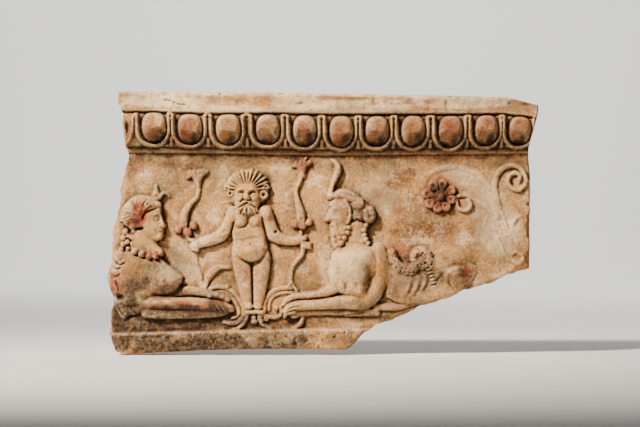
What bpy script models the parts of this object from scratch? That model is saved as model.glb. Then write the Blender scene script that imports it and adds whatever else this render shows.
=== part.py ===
# A moulded terracotta wall plaque: cornice with eggs, a dwarf god between two sphinxes, base band.
# Everything is in millimetres until the last step, which turns the mesh into metres.
# x runs to the right, z up, and the front faces -Y. The origin is at the middle of the flat back.

import math

import bpy
import numpy as np

MM = 0.001

# Plaque
PLAQUE_WIDTH = 430.0
PLAQUE_HEIGHT = 263.0
SLAB = 26.0
BACK_CHAMFER = 2.5
BREAK_ROUGHNESS = 1.6
WALL_WAVE = 0.8
WALL_WAVE_SIZE = 9.0
FRONT_EDGE_ROUND = 3.0

# Courses of the cornice and the base, measured from the plaque's top and bottom edges
FASCIA_HEIGHT = 20.0
FASCIA_DEPTH = 27.0
EGG_BAND_HEIGHT = 34.0
OVOLO_TOP = 20.0
OVOLO_FOOT = 5.5
EGG_MARGIN_LEFT = 46.5
EGG_PITCH = 36.4
EGG_DRIFT = 4.5
EGG_WIDTH = 25.0
EGG_HEIGHT = 31.0
EGG_RISE = 10.0
EGG_TROUGH = 3.6
EGG_SHIFT = 1.3
SHELL_GAP = 3.1
SHELL_RISE = 4.8
SHELL_FULLNESS = 0.05
FILLET_HEIGHT = 6.0
FILLET_DEPTH = 2.6
BASE_HEIGHT = 26.0
BASE_DEPTH = 6.0
BASE_DROP = 3.6
COURSE_EDGE = 0.8

# Figures, each by its own height, drawn at that height in its own millimetres
GOD_HEIGHT = 142.0
LEFT_SPHINX_HEIGHT = 135.0
RIGHT_SPHINX_HEIGHT = 158.0
SCROLL_PLANT_HEIGHT = 102.0
ROSETTE_RADIUS = 17.0

# Mesh
CELL = 1.0
GRID_STEP = 1.7
WALL_STEPS = 3
TRIANGLES = 9700
HEAD_DETAIL = 4.0
CORNER_EASE = 0.006
SOFTENING = 0.9
SEED = 31

# Colour of the fired clay, as sRGB hex
CLAY_COLOUR = "C09C74"

# Places: across as shares of the width, up from the base band's top edge
FIELD_FLOOR = BASE_HEIGHT - PLAQUE_HEIGHT / 2
GOD_PLACE = -0.1674
GOD_LIFT = 19.0
LEFT_SPHINX_PLACE = -0.3419
RIGHT_SPHINX_PLACE = 0.0419
SPHINX_LIFT = 11.0
PLANT_PLACE = 0.414
PLANT_LIFT = 111.0

# Half sizes of the working sheet that the clay is drawn on
SHEET_X = PLAQUE_WIDTH / 2 + 12
SHEET_Z = PLAQUE_HEIGHT / 2 + 10

ROUND = "round"
SOFT = "soft"


def between(value, low, high):
    """0 below low, 1 above high, smooth in between."""
    t = np.clip((value - low) / (high - low), 0, 1)
    return t * t * (3 - 2 * t)


def curve(points, steps=6):
    """A smooth curve through rows of numbers."""
    p = np.array(points, float)
    if len(p) < 3:
        return p
    ends = np.vstack([2 * p[0] - p[1], p, 2 * p[-1] - p[-2]])
    t = np.linspace(0, 1, steps, endpoint=False)[:, None]
    rows = []
    for a, b, c, d in zip(ends, ends[1:], ends[2:], ends[3:]):
        bend = (2 * a - 5 * b + 4 * c - d) * t**2 + (3 * b - a - 3 * c + d) * t**3
        rows.append(0.5 * (2 * b + (c - a) * t + bend))
    return np.vstack(rows + [p[-1:]])


def mottle(x, z, size, seed):
    """A smooth random field from -1 to 1 with spots of one size."""
    rng = np.random.default_rng(seed)
    u = (x + SHEET_X) / size + 2
    v = (z + SHEET_Z) / size + 2
    lattice = rng.uniform(-1, 1, (int(v.max()) + 4, int(u.max()) + 4))
    i = np.floor(v).astype(int)
    j = np.floor(u).astype(int)
    a = between(v - i, 0, 1)
    b = between(u - j, 0, 1)
    high = lattice[i + 1, j] * (1 - b) + lattice[i + 1, j + 1] * b
    low = lattice[i, j] * (1 - b) + lattice[i, j + 1] * b
    return low * (1 - a) + high * a


def soften(field, sigma):
    """Blurs the clay a little, as a mould and a wet hand do."""
    reach = max(1, int(round(3 * sigma)))
    taps = np.exp(-0.5 * (np.arange(-reach, reach + 1) / sigma) ** 2)
    taps /= taps.sum()
    for axis in (0, 1):
        edges = [(0, 0), (0, 0)]
        edges[axis] = (reach, reach)
        padded = np.pad(field, edges, mode="edge")
        size = field.shape[axis]
        field = sum(w * padded.take(range(k, k + size), axis) for k, w in enumerate(taps))
    return field


def meet(a, b, k):
    """The higher of two surfaces, with their join rounded over k and no lift on the bare ground."""
    low = np.minimum(a, b)
    high = np.maximum(a, b)
    k = np.minimum(k, 1.6 * np.maximum(low, 0)) + 1e-6
    return high + np.maximum(k - (high - low), 0) ** 2 / (4 * k)


def section(q, shape, wall):
    """Height share across a form: q is 0 on its middle line and 1 at its rim, as distance squared."""
    inside = np.clip(1 - q, 0, 1)
    if shape == SOFT:
        return inside**2
    return wall * np.clip(inside * 5, 0, 1) + (1 - wall) * np.sqrt(inside)


class Clay:
    """The relief's height above the field's ground, over a sheet of small cells."""

    def __init__(self):
        self.xs = np.arange(-SHEET_X, SHEET_X, CELL)
        self.zs = np.arange(-SHEET_Z, SHEET_Z, CELL)
        self.x, self.z = np.meshgrid(self.xs, self.zs)
        self.h = np.zeros_like(self.x)
        self.heads = []

    def window(self, x, z, reach):
        """The cells around some points."""
        i = (np.array([np.min(z) - reach, np.max(z) + reach]) + SHEET_Z) / CELL
        j = (np.array([np.min(x) - reach, np.max(x) + reach]) + SHEET_X) / CELL
        i = np.clip(i + (-1, 2), 0, len(self.zs)).astype(int)
        j = np.clip(j + (-1, 2), 0, len(self.xs)).astype(int)
        return slice(*i), slice(*j)

    def read(self, x, z):
        """The height at any points, between the cells."""
        u = np.clip((x + SHEET_X) / CELL, 0, len(self.xs) - 1.001)
        v = np.clip((z + SHEET_Z) / CELL, 0, len(self.zs) - 1.001)
        i = np.floor(v).astype(int)
        j = np.floor(u).astype(int)
        a = v - i
        b = u - j
        low = self.h[i, j] * (1 - b) + self.h[i, j + 1] * b
        high = self.h[i + 1, j] * (1 - b) + self.h[i + 1, j + 1] * b
        return low * (1 - a) + high * a


class Tool:
    """Works the clay in one figure's own millimetres, placed by its home point and scale."""

    def __init__(self, clay, home, scale):
        self.clay = clay
        self.home = home
        self.scale = scale

    def place(self, rows):
        p = np.array(rows, float) * self.scale
        p[:, :2] += self.home
        return p

    def at(self, x, z):
        """The same tool, drawing from another point of the figure."""
        return Tool(self.clay, tuple(self.place([(x, z)])[0]), self.scale)

    def raise_to(self, cells, field, blend):
        h = self.clay.h
        h[cells] = np.where(field > 0, meet(h[cells], field, blend * self.scale), h[cells])

    def strip(self, rows, shape, wall):
        clay = self.clay
        p = self.place(curve(rows))
        field = np.zeros(clay.h.shape)
        for a, b in zip(p, p[1:]):
            cells = clay.window((a[0], b[0]), (a[1], b[1]), max(a[2], b[2]))
            x = clay.x[cells]
            z = clay.z[cells]
            dx, dz = b[:2] - a[:2]
            t = np.clip(((x - a[0]) * dx + (z - a[1]) * dz) / (dx * dx + dz * dz + 1e-9), 0, 1)
            half, height = a[2:, None, None] + (b - a)[2:, None, None] * t
            q = ((x - a[0] - t * dx) ** 2 + (z - a[1] - t * dz) ** 2) / half**2
            field[cells] = np.maximum(field[cells], height * section(q, shape, wall))
        cells = clay.window(p[:, 0], p[:, 1], p[:, 2].max())
        return cells, field[cells]

    def limb(self, *rows, wall=0.35, blend=2.0):
        """Raises a rounded strip through rows of x, z, half width and height."""
        cells, field = self.strip(rows, ROUND, wall)
        self.raise_to(cells, field, blend)

    def ridge(self, *rows):
        """Adds a soft strip on top of what is there."""
        cells, field = self.strip(rows, SOFT, 0)
        self.clay.h[cells] += field

    def line(self, points, half, depth):
        """A soft ridge, or a groove where depth is below 0, of one width."""
        rows = [(x, z, half, abs(depth)) for x, z in points]
        cells, field = self.strip(rows, SOFT, 0)
        self.clay.h[cells] += math.copysign(1, depth) * field

    def oval(self, x, z, rx, rz, turn):
        clay = self.clay
        px, pz, rx, rz = self.place([(x, z, rx, rz)])[0]
        cells = clay.window(px, pz, max(rx, rz))
        c = math.cos(math.radians(turn))
        s = math.sin(math.radians(turn))
        dx = clay.x[cells] - px
        dz = clay.z[cells] - pz
        return cells, ((dx * c + dz * s) / rx) ** 2 + ((dz * c - dx * s) / rz) ** 2

    def lump(self, x, z, rx, rz, height, turn=0, wall=0.35, blend=2.0):
        """Raises an oval dome to a height above the ground."""
        cells, q = self.oval(x, z, rx, rz, turn)
        self.raise_to(cells, height * self.scale * section(q, ROUND, wall), blend)

    def swell(self, x, z, rx, rz, height, turn=0):
        """Adds an oval swelling, or a hollow where height is below 0."""
        cells, q = self.oval(x, z, rx, rz, turn)
        self.clay.h[cells] += height * self.scale * section(q, SOFT, 0)

    def mass(self, outline, height, shoulder, blend=2.0, wall=0.3):
        """Raises a closed outline whose rim rounds over within a shoulder's width."""
        clay = self.clay
        loop = self.place([(x, z, 0, 0) for x, z in outline])[:, :2]
        loop = curve(np.vstack([loop[-1:], loop, loop[:2]]))[6:-6]
        cells = clay.window(loop[:, 0], loop[:, 1], 1)
        x = clay.x[cells]
        z = clay.z[cells]
        near = np.full(x.shape, 1e9)
        inside = np.zeros(x.shape, bool)
        for a, b in zip(loop, np.roll(loop, -1, axis=0)):
            dx, dz = b - a
            t = np.clip(((x - a[0]) * dx + (z - a[1]) * dz) / (dx * dx + dz * dz + 1e-9), 0, 1)
            near = np.minimum(near, (x - a[0] - t * dx) ** 2 + (z - a[1] - t * dz) ** 2)
            if a[1] != b[1]:
                inside ^= ((a[1] > z) != (b[1] > z)) & (x < dx * (z - a[1]) / dz + a[0])
        depth = np.clip(np.sqrt(near) / (shoulder * self.scale), 0, 1)
        field = np.where(inside, height * self.scale * section((1 - depth) ** 2, ROUND, wall), 0)
        self.raise_to(cells, field, blend)


# The god is drawn 142 tall, with 0, 0 between his feet
def god(clay):
    t = Tool(clay, (GOD_PLACE * PLAQUE_WIDTH, FIELD_FLOOR + GOD_LIFT), GOD_HEIGHT / 142)
    scrolls(t)
    # Arms
    t.limb((-17, 97, 6.5, 8.5), (-21, 88, 5.8, 8), (-27.5, 76, 6.4, 8), (-39, 70, 5.6, 8.5),
        (-53, 65, 4.6, 8))
    t.limb((15, 97, 7.5, 10), (19, 86, 7, 9), (24, 75, 7, 9), (34, 70, 5, 8), (51, 70.5, 4.2, 7.5))
    # Trunk, legs, belly and chest
    left = [(-16, 99), (-17, 88), (-18, 78), (-17, 68), (-18, 58), (-17, 48), (-8, 42), (3, 46)]
    right = [(14, 44), (20, 52), (17, 62), (16, 74), (13, 86), (13, 98), (0, 103)]
    t.mass(left + right, 10, 8, wall=0.3)
    t.limb((-8.6, 52, 9.8, 9), (-7.4, 40, 9, 9), (-5.6, 28, 7.8, 8.5), (-3.6, 15, 6.4, 8),
        (-1.9, 5, 4.6, 6.5), wall=0.25)
    t.limb((11, 52, 9.8, 9), (10.8, 40, 9, 9), (10, 28, 7.8, 8.5), (8.9, 15, 6.6, 8),
        (7.7, 5, 4.9, 6.5), wall=0.25)
    t.swell(1, 59, 18, 15, 5.6)
    t.swell(0, 63, 15, 9, 1.8)
    t.swell(-9, 90, 9, 8, 2.6, turn=-14)
    t.swell(6, 90, 8.6, 8, 2, turn=12)
    for side in (-1, 1):
        t.swell(side * 16, 96, 8, 7, 3)
    # Creases
    t.line([(-15, 83.5), (-10, 82.4), (-5, 84), (-2.4, 88), (-2.2, 93)], 2, -2.4)
    t.line([(-17, 70.4), (-11, 68.8), (-4, 69.2), (2, 69.6)], 1.8, -2.2)
    t.line([(-14, 56), (-10, 52.5), (-3.3, 49.2), (3.3, 47.4), (9, 50.5), (11.6, 55.5), (14, 59)], 2, -3.6)
    t.line([(2.2, 44), (2, 36), (2.3, 20), (2.5, 3)], 1.8, -5.5)
    t.line([(12, 93), (14.5, 82), (16.6, 72), (18.4, 62)], 1.7, -4.6)
    t.swell(25.5, 78.3, 2.4, 2.6, -5)
    # Feet and hands
    for x in (-1.5, 7.5):
        t.lump(x, 3.6, 5, 4, 8)
    t.lump(-55, 64, 5, 5.8, 9.5, turn=20)
    t.lump(54.5, 72, 3, 3, 7.5)
    for k in range(3):
        t.limb((52, 67.5 - 2.2 * k, 1.6, 7), (60.5, 66.5 - 2.3 * k, 1.4, 5))
    god_head(t.at(-3, 119))
    staff_left(t.at(-55, 64))
    staff_right(t.at(52, 68))


# Drawn from the middle of the brow line
def god_head(t):
    t.clay.heads.append((*t.home, 24 * t.scale))
    t.lump(0, 2.4, 22, 19.6, 8, wall=0.4)
    locks = 13
    for k in range(locks):
        angle = math.radians(10 + 160 * k / (locks - 1))
        rows = []
        for reach, half, rise in ((9.3, 1.3, 2), (14.4, 1.9, 3), (18.6, 2.3, 3.6), (21, 2, 3)):
            rows.append((reach * math.cos(angle), reach * math.sin(angle) + 0.6, half, rise))
        t.ridge(*rows)
    for x, z, r in ((-20, 3, 3.2), (19, 4.4, 3.4), (-16.9, -2.4, 3.4), (16.6, -3.6, 4.9)):
        t.lump(x, z, r, r, 9, wall=0.6)
        t.swell(x, z, 0.5 * r, 0.5 * r, -8)
    jaw = [(-12, 3), (-13, -5), (-12, -15), (-9, -22), (0, -26), (9, -23), (12, -15), (13, -5), (12, 3)]
    t.mass(jaw + [(7, 8), (-7, 8)], 11.5, 7, wall=0.45)
    for side in (-1, 1):
        t.swell(side * 6, -2.4, 4.6, 3.8, -4.6)
        t.line([(side * 1.6, 0), (side * 5.2, 2.2), (side * 10, 0.6)], 1.6, 2.8)
        t.swell(side * 6.2, -3.4, 2.9, 1.7, 3)
        t.swell(side * 7, -8, 3.6, 2.8, 2.4)
        t.ridge((side, -10.4, 1.5, 2.6), (side * 4.6, -11.6, 1.7, 3), (side * 8.6, -15, 1.4, 1.8))
    t.ridge((0, 1.4, 1.9, 1.4), (0, -3, 2.2, 3), (0, -6.4, 3.2, 5.4))
    t.lump(0.4, -20.4, 11.6, 6.6, 12, blend=3)
    t.swell(-0.2, -12, 2.2, 1.1, -4.4)
    strands = 7
    for k in range(strands):
        f = 2 * k / (strands - 1) - 1
        t.ridge((4 * f, -15.6, 1, 0.8), (8 * f, -18.6, 1.5, 2.4), (11 * f, -22.6 + 2.5 * f * f, 1.6, 2.4))


# Drawn from the left hand
def staff_left(t):
    t.limb((-1, -5, 2.8, 3), (0, -16, 2.8, 2.8), (4, -29, 2.8, 2.8), (9, -48, 2.2, 3.6), wall=0.4)
    t.limb((9.4, -47, 1.8, 3.6), (11, -36, 3, 4), (16, -27, 4, 4.4), (24, -21.6, 3, 4.2), (34, -22, 0.8, 3))
    t.limb((-12, 21, 4.6, 6.5), (-10.6, 33, 4, 6), (-5, 42, 2.8, 5), (1.6, 49, 2.2, 4),
        (3.6, 57, 2, 3.4), wall=0.4)
    for x, z, r in ((-17, 16.5, 4), (-8, 14, 4.6), (-2, 20.5, 4)):
        t.lump(x, z, r, r, 7.6, wall=0.5)
    t.limb((-8, 10, 2, 5.5), (-2, 5, 2.4, 6.5), wall=0.5)
    cup = [(-8, 71), (-3, 68), (0, 62), (2, 58.4), (5, 59), (6, 65), (8.4, 69.6), (13.4, 74)]
    flower(t, cup + [(11, 76.6), (2, 77), (-7, 74.6)])


# Drawn from the right hand
def staff_right(t):
    low = [(-1.4, 10, 2, 5), (1, -7, 2.2, 4.8), (-0.4, -13, 2.2, 4.4), (-9.6, -25.5, 2.2, 3.6),
        (-11, -34, 2.2, 3.4)]
    t.limb(*low, (-11, -42, 2, 3.2), wall=0.4)
    t.limb((-11, -40, 1.6, 3.4), (-13, -44, 1.7, 3.2), (-16, -47, 1.4, 3), wall=0.4)
    t.limb((-10.6, -40, 1.4, 3.4), (-8, -45, 1.5, 3.2), (-5, -49, 1.4, 3), wall=0.4)
    high = [(-1, 21.5, 4.6, 6.6), (-1.4, 28, 4.7, 6.4), (-3, 36, 3.6, 5.6), (-5.4, 46, 2.4, 4.6),
        (-5.6, 53, 2.1, 4)]
    t.limb(*high, (-1, 65, 2.2, 4), wall=0.4)
    for x, z, r in ((-7.4, 17.8, 4.4), (0.2, 16.6, 4.6), (7, 19.6, 3.6)):
        t.lump(x, z, r, r, 7.6, wall=0.5)
    cup = [(-12, 75), (-6, 74), (-3.6, 70), (-3, 65.4), (2.6, 65), (3.6, 71), (6, 76), (10.4, 79)]
    flower(t, cup + [(8, 82), (0, 79.6), (-6, 79)])


# A lotus in profile
def flower(t, outline):
    t.mass(outline, 5, 3.2, wall=0.4)


# Scrolls of the plant under the god, drawn with him
def scrolls(t):
    outer = [(-46, 17, 2.2, 2.6), (-36, 22.6, 2.4, 3), (-23, 21.4, 2.4, 3.4), (-12, 12, 2.4, 3.6),
        (-6.4, 0, 2.4, 3.8)]
    t.limb(*outer, (-8.4, -8.6, 2.5, 4), (-16, -13.4, 2.3, 3.8), (-26, -12.6, 1.8, 3), wall=0.6)
    inner = [(-44, 13, 1.6, 2.2), (-35, 17.4, 1.9, 2.8), (-25, 16.8, 2, 3.2), (-16, 9, 2, 3.4),
        (-11, -0.6, 2, 3.6)]
    t.limb(*inner, (-13, -6.4, 2, 3.6), (-18, -8.6, 1.5, 2.8), wall=0.6)
    t.limb((14, -2, 2.2, 3.4), (15, 8, 2.4, 3.6), (20, 16, 2.5, 3.6), (29, 21, 2.4, 3.4),
        (41, 22, 2.1, 2.6), wall=0.6)
    t.lump(26.6, 2, 3.4, 3.4, 4)
    t.limb((12, -4, 2, 4.5), (18, -7, 2.1, 4.8), (26, -7.6, 2, 4.5), (31, -4.6, 1.8, 4),
        (30, 3, 1.4, 3), wall=0.5)
    t.limb((-3, -2.3, 2.2, 7), (12, -2.3, 2.2, 7), wall=0.6)
    for x, z in ((3.4, -7.4), (9.8, -6.6), (16, -9), (4.4, -12), (11, -11)):
        t.lump(x, z, 3, 2.8, 5.5, wall=0.5)
    t.limb((-2.6, -5, 2.2, 5), (-5.6, -12, 2.6, 5), (-11.6, -18.6, 2.4, 4.5), wall=0.5)
    t.limb((9, -10, 2, 4.5), (13, -15, 2.2, 4.5), (20, -18.6, 2, 4), wall=0.5)
    t.limb((52.6, -8, 2.6, 5), (50.6, -14, 3, 5), (44, -18.6, 2.2, 4.5), wall=0.5)


# The left sphinx is drawn 135 tall, with 0, 0 on the floor under her forearm
def left_sphinx(clay):
    t = Tool(clay, (LEFT_SPHINX_PLACE * PLAQUE_WIDTH, FIELD_FLOOR + SPHINX_LIFT), LEFT_SPHINX_HEIGHT / 135)
    # Chest, shoulder, breast and the body under them
    left = [(-64, 58), (-62, 64), (-46, 68), (-30, 67), (-20, 64), (-12, 58), (-3, 50), (6, 43),
        (7.6, 40.4), (5.4, 33)]
    t.mass(left + [(-2, 24), (-22, 20), (-36, 12), (-52, 12), (-60, 22), (-66, 36)], 11, 13, wall=0.22)
    t.swell(-42, 42, 24, 30, 3.6, turn=8)
    t.swell(-44, 52, 16, 14, 1.6)
    t.swell(-8, 38, 20, 17, 5.4, turn=-35)
    t.swell(-1, 38, 10, 9, 2.2, turn=-30)
    t.swell(6, 41.2, 2.6, 2.2, 2.4)
    t.swell(-28, 34, 7, 10, -1.2)
    t.mass([(-62, 20), (-54, 24), (-42, 20), (-34, 10), (-36, 3), (-46, 2), (-52, -2), (-58, 6)], 6.5, 8)
    # Rear, lower and front forearms
    t.limb((-4, 25, 5, 6.5), (10, 27, 4.5, 6.5), (36, 23.5, 3.6, 6.5), (48, 21, 4, 7), (52, 18, 3.4, 6.5))
    for x, z, r in ((34, 22.5, 3.4), (47, 21.5, 3), (52.5, 18.5, 3)):
        t.lump(x, z, r, r, 8.4)
    t.limb((-29.5, 5, 5, 6.5), (-22, 4, 4.4, 5.2), (20, 4.5, 4, 4.8), (45, 5.5, 4, 5),
        (54, 8, 3.5, 4.8), wall=0.25)
    arm = [(-34, 13, 6.5, 8), (-22, 17, 6, 11), (0, 15.8, 5.6, 11.4), (22, 15.6, 5.2, 11),
        (36, 14, 6, 10.5)]
    t.limb(*arm, (47, 11, 6, 10), (53, 9, 4, 8.5), wall=0.35)
    for k in range(4):
        x = 38 + 5.4 * k
        z = 11 - 1.5 * k + 0.4 * k * k
        t.limb((x - 4, z + 3.5, 2.2, 10.5), (x + 1.5, z, 2.6, 11), (x + 2.8, z - 2.2, 2.1, 8.5))
    # Locks down the edge, and the necklace
    for x, z, rx, rz, high in ((-55, 61.5, 8.5, 5.4, 13.5), (-57, 52.5, 6.4, 4.2, 13),
        (-58.5, 45, 6.4, 4.6, 12.6)):
        t.lump(x, z, rx, rz, high, turn=-12, wall=0.5, blend=1)
    t.mass([(-65, 42), (-57, 40), (-51, 36), (-51, 26), (-55, 22), (-61, 24), (-67, 32)], 12.5, 5, wall=0.4)
    beads = 8
    for k in range(beads):
        f = k / (beads - 1)
        t.lump(-42.5 + 28.5 * f, 66 - 17 * f * (1 - f) - 2.6 * f, 2.9, 3.1, 13, wall=0.5)
    left_head(t.at(-37, 102))


# Drawn from the middle of the hair
def left_head(t):
    t.clay.heads.append((*t.home, 28 * t.scale))
    t.mass([(-1, -12), (15, -18), (19, -28), (24, -36), (9, -44), (-7, -40), (-7, -24)], 8, 7)
    face = [(22, 10), (23.8, 2), (25.5, -4), (28.2, -9.2), (27.2, -11.8), (25.2, -13.4), (25.8, -15.6),
        (24.6, -17.8)]
    jaw = [(25, -20.4), (23, -23.6), (18, -25), (13, -23.4), (7, -19), (3, -12), (5, -2), (7, 4), (13, 8)]
    t.mass(face + jaw, 11, 5.5, wall=0.45)
    t.swell(14, -11, 9, 9, 2.2)
    t.swell(19.5, -2.4, 4.8, 3.8, -3.2, turn=20)
    t.line([(13, 0), (18, 2.6), (23.2, 1.4)], 1.7, 1.8)
    t.swell(19, -2.7, 2.9, 2, 2.6, turn=25)
    t.ridge((23.4, 1, 2, 1.2), (25, -4.5, 2.4, 3), (26.8, -8.6, 2.4, 4))
    t.swell(24.4, -14.2, 2.6, 1.2, 2.2)
    t.swell(24.2, -17.4, 2.4, 1.2, 2.2)
    t.line([(21.2, -16), (25.5, -15.8)], 0.9, -3)
    cap = [(-18, -5), (-18, 4), (-14, 11), (-8, 17), (-1, 20.5), (8, 20.5), (16, 18), (22.5, 14),
        (23.5, 9.5), (17, 7.5)]
    t.mass(cap + [(11, 5.5), (6.5, 1), (5.5, -4), (8.5, -8), (6, -11.5), (-3, -13),
        (-11, -11)], 12.5, 7, wall=0.4)
    strands = 11
    for k in range(strands):
        angle = math.radians(196 - 178 * k / (strands - 1))
        rows = []
        for reach, half, rise in ((5, 0.9, 1.0), (11, 1.4, 2.2), (17.5, 1.5, 1.8)):
            rows.append((reach * math.cos(angle), 0.95 * reach * math.sin(angle), half, rise))
        t.ridge(*rows)
    t.swell(0, -12.5, 6.5, 2.8, -5)
    t.lump(-16, -2.5, 2.6, 4, 10, turn=-25)
    t.mass([(17.8, 32), (19.2, 29), (21.2, 24), (21.6, 20.4), (18, 19.2), (14, 20), (15, 25)], 6.5, 3.5)
    curl = [(13, 18, 1.8, 6.5), (20, 17.8, 2, 7.5), (22.5, 20.5, 1.9, 7.5), (25, 23, 1.8, 6.5),
        (28.2, 22.8, 1.7, 5.5)]
    t.limb(*curl, (31, 19.8, 1.5, 3.5), wall=0.4)
    for k in range(9):
        t.lump(-5 - 1.4 * k + 3.2 * (k % 2), -15 - 2.4 * k, 2.9, 2.9, 10, wall=0.5)


# The right sphinx is drawn 158 tall, plume and all, with 0, 0 on the floor under his chest
def right_sphinx(clay):
    t = Tool(clay, (RIGHT_SPHINX_PLACE * PLAQUE_WIDTH, FIELD_FLOOR + SPHINX_LIFT), RIGHT_SPHINX_HEIGHT / 158)
    # Body, chest and shoulder
    belly = [(-6, 66), (-9, 56), (-10.5, 44), (-8, 32), (2, 22), (24, 14), (36, 14), (42, 22), (64, 12),
        (92, 14)]
    back = [(118, 22), (126, 42), (104, 62), (90, 60), (76, 55), (62, 54), (52, 58), (46, 68), (40, 74),
        (26, 75)]
    t.mass(belly + back + [(22, 84), (8, 84), (4, 74)], 6.5, 13, wall=0.16)
    chest = [(-6.5, 66), (-9.5, 55), (-10.5, 43), (-7, 31), (3, 23), (20, 18), (28, 24), (34, 40),
        (36, 58), (30, 72)]
    t.mass(chest + [(16, 76), (4, 72)], 12.5, 14, wall=0.25, blend=5)
    t.swell(12, 50, 26, 30, 4.4, turn=4)
    t.swell(4, 58, 14, 16, 1.4)
    t.swell(36, 60, 17, 20, 4.6, turn=24)
    t.swell(40, 44, 12, 20, 2.6, turn=8)
    t.line([(31, 58), (30, 46), (30, 34), (29, 20)], 5.5, -4.2)
    t.line([(45, 40), (42, 28), (37, 16), (33, 7)], 4.5, -4)
    # Haunch, thigh and hind foot along the break
    haunch = [(84, 22), (92, 14), (118, 22), (132, 36), (138, 50), (130, 62), (116, 71), (102, 71),
        (92, 64), (84, 50)]
    t.mass(haunch, 7.5, 16, wall=0.1, blend=5)
    t.swell(112, 56, 26, 18, 3.6, turn=-14)
    t.swell(122, 40, 17, 13, 5, turn=-28)
    t.swell(115, 45, 10, 7, 2.4, turn=20)
    t.line([(106, 34), (106.5, 43), (112, 48.5), (120, 50.5), (127, 48)], 2.6, 1.9)
    t.line([(96, 36), (101, 42), (104, 49)], 3.4, -1.6)
    t.limb((36, 11, 4, 4.6), (52, 10.4, 4.2, 3.6), (72, 14, 3.4, 2.4), wall=0.15, blend=4)
    for x, z in ((68, 30), (76, 31), (84, 34)):
        t.line([(x - 5, z - 9), (x, z), (x + 3, z + 10)], 3, 1.2)
    # Rear, lower and front forearms
    rear = [(-4, 29, 5, 6.5), (-12, 26, 5, 6.5), (-22, 23.5, 4, 6), (-34, 22.5, 3.6, 6), (-46, 21, 3.4, 6)]
    t.limb(*rear, (-53, 17, 3, 5.5), (-57, 13, 2.2, 4.6), wall=0.3)
    t.limb((36, 6, 4.6, 5), (10, 5.5, 4.4, 4.8), (-14, 5.8, 4.2, 5), (-36, 5.5, 4.2, 5.6),
        (-46, 3.5, 5, 6.5), wall=0.25)
    arm = [(26, 12, 9, 11), (16, 16, 8, 12.4), (2, 15.6, 7, 12.4), (-14, 13.8, 5.8, 11.6),
        (-30, 12.6, 5.2, 11)]
    t.limb(*arm, (-42, 12, 5.4, 10.6), (-50, 10, 5, 9.6), (-55, 6.6, 3, 7.6), wall=0.3)
    for k in range(3):
        x = -41 - 2.2 * k
        z = 13.8 - 4.1 * k
        t.limb((x, z, 2.2, 11 - k), (x - 8, z - 1.4, 2.3, 10.5 - k),
            (x - 12.5 + 1.2 * k, z - 4.6, 1.8, 8.2 - k))
    right_head(t.at(0, 102))
    curled_wing(t.at(81, 53))


# Drawn from the middle of the cheek
def right_head(t):
    t.clay.heads.append((*t.home, 30 * t.scale))
    t.mass([(6, -4), (24, -4), (24, -18), (30, -28), (2, -32), (6, -18)], 9, 8)
    face = [(-11.5, 14), (-9.6, 8), (-12, 2), (-15, -3), (-14.4, -5), (-11.6, -6.4), (-10.4, -9),
        (-9.4, -13), (-9.6, -17)]
    t.mass(face + [(-2, -22), (6, -18), (9, -8), (10, 2), (9.6, 12), (4, 17), (-4, 18)], 12, 6, wall=0.45)
    t.swell(-1, -2, 7, 6, 1.8)
    t.swell(-6, 3.5, 4.6, 3.6, -3, turn=-12)
    t.line([(-10.8, 6.6), (-6.5, 8.4), (-1, 7)], 1.6, 2)
    t.swell(-6, 3, 2.8, 1.8, 2.4, turn=-10)
    t.ridge((-10.4, 7, 1.8, 1), (-12, 1.5, 2.2, 3), (-13.2, -2.2, 2.6, 4))
    t.swell(-9.6, -9, 2.6, 1.3, 2)
    t.ridge((-9, -7.6, 1.1, 1.4), (-4.5, -10, 1.5, 1.8), (-3, -14.4, 1.2, 1.2))
    # Cap, boss, plume, bun and tress
    cap = [(-9, 18), (-6, 24), (-1, 26.5), (6, 27), (14, 24), (20, 19), (24, 12), (22.5, 7.5), (12, 7),
        (8, 12), (0, 16)]
    t.mass(cap, 12, 6, wall=0.4)
    for k in range(6):
        rows = [(-7 + 2.6 * k, 17.6 - 0.7 * k, 1.2, 1.2), (-3.5 + 3.6 * k, 21.2 - 0.8 * k, 1.5, 1.8)]
        t.ridge(*rows, (1 + 4 * k, 23.6 - 1.9 * k, 1.2, 0.8))
    t.limb((6, 15, 2, 12.5), (9.4, 8, 2.2, 12.5), (9.8, 1, 2, 12), (8, -6, 2, 11), wall=0.4)
    t.lump(-9.6, 19.6, 5.4, 5.6, 10.5, wall=0.5)
    plume = [(-8, 22, 2.6, 8), (-8, 30, 2.8, 8), (-7, 38, 3.8, 8), (-3.4, 46, 4.6, 8.5), (-2.2, 51, 3.8, 8)]
    t.limb(*plume, (-5, 54.6, 2.4, 6), (-9, 55.6, 1.4, 3), wall=0.45)
    t.lump(16.5, 2, 5.4, 5, 11, wall=0.5)
    t.lump(30.6, 1.6, 7.2, 9.4, 12, wall=0.4)
    for k in range(6):
        t.lump(26.2 - 3 * math.sin(math.pi * k / 5), -9.5 - 3.7 * k, 2.8, 2.5, 11, wall=0.5)
    # Curly beard
    edge = [(-9, -16), (-8.6, -24), (-6.6, -31), (-1, -35.4), (2.4, -32), (6.4, -26), (10, -18),
        (10.4, -10), (8.6, -4)]
    t.mass(edge + [(5, -10), (-1, -16)], 11.5, 4.5, wall=0.45)
    curls = ((7.6, -6.6), (9, -11.4), (7.8, -16.4), (3.4, -17.2), (-1.8, -17.4), (-6.4, -19.6),
        (4.6, -22), (-0.4, -22))
    for x, z in curls + ((-5.6, -24.6), (1.8, -27), (-3.4, -29.4), (-0.8, -33.6)):
        t.lump(x, z, 2.5, 2.5, 13.4, wall=0.4, blend=1)


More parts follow.
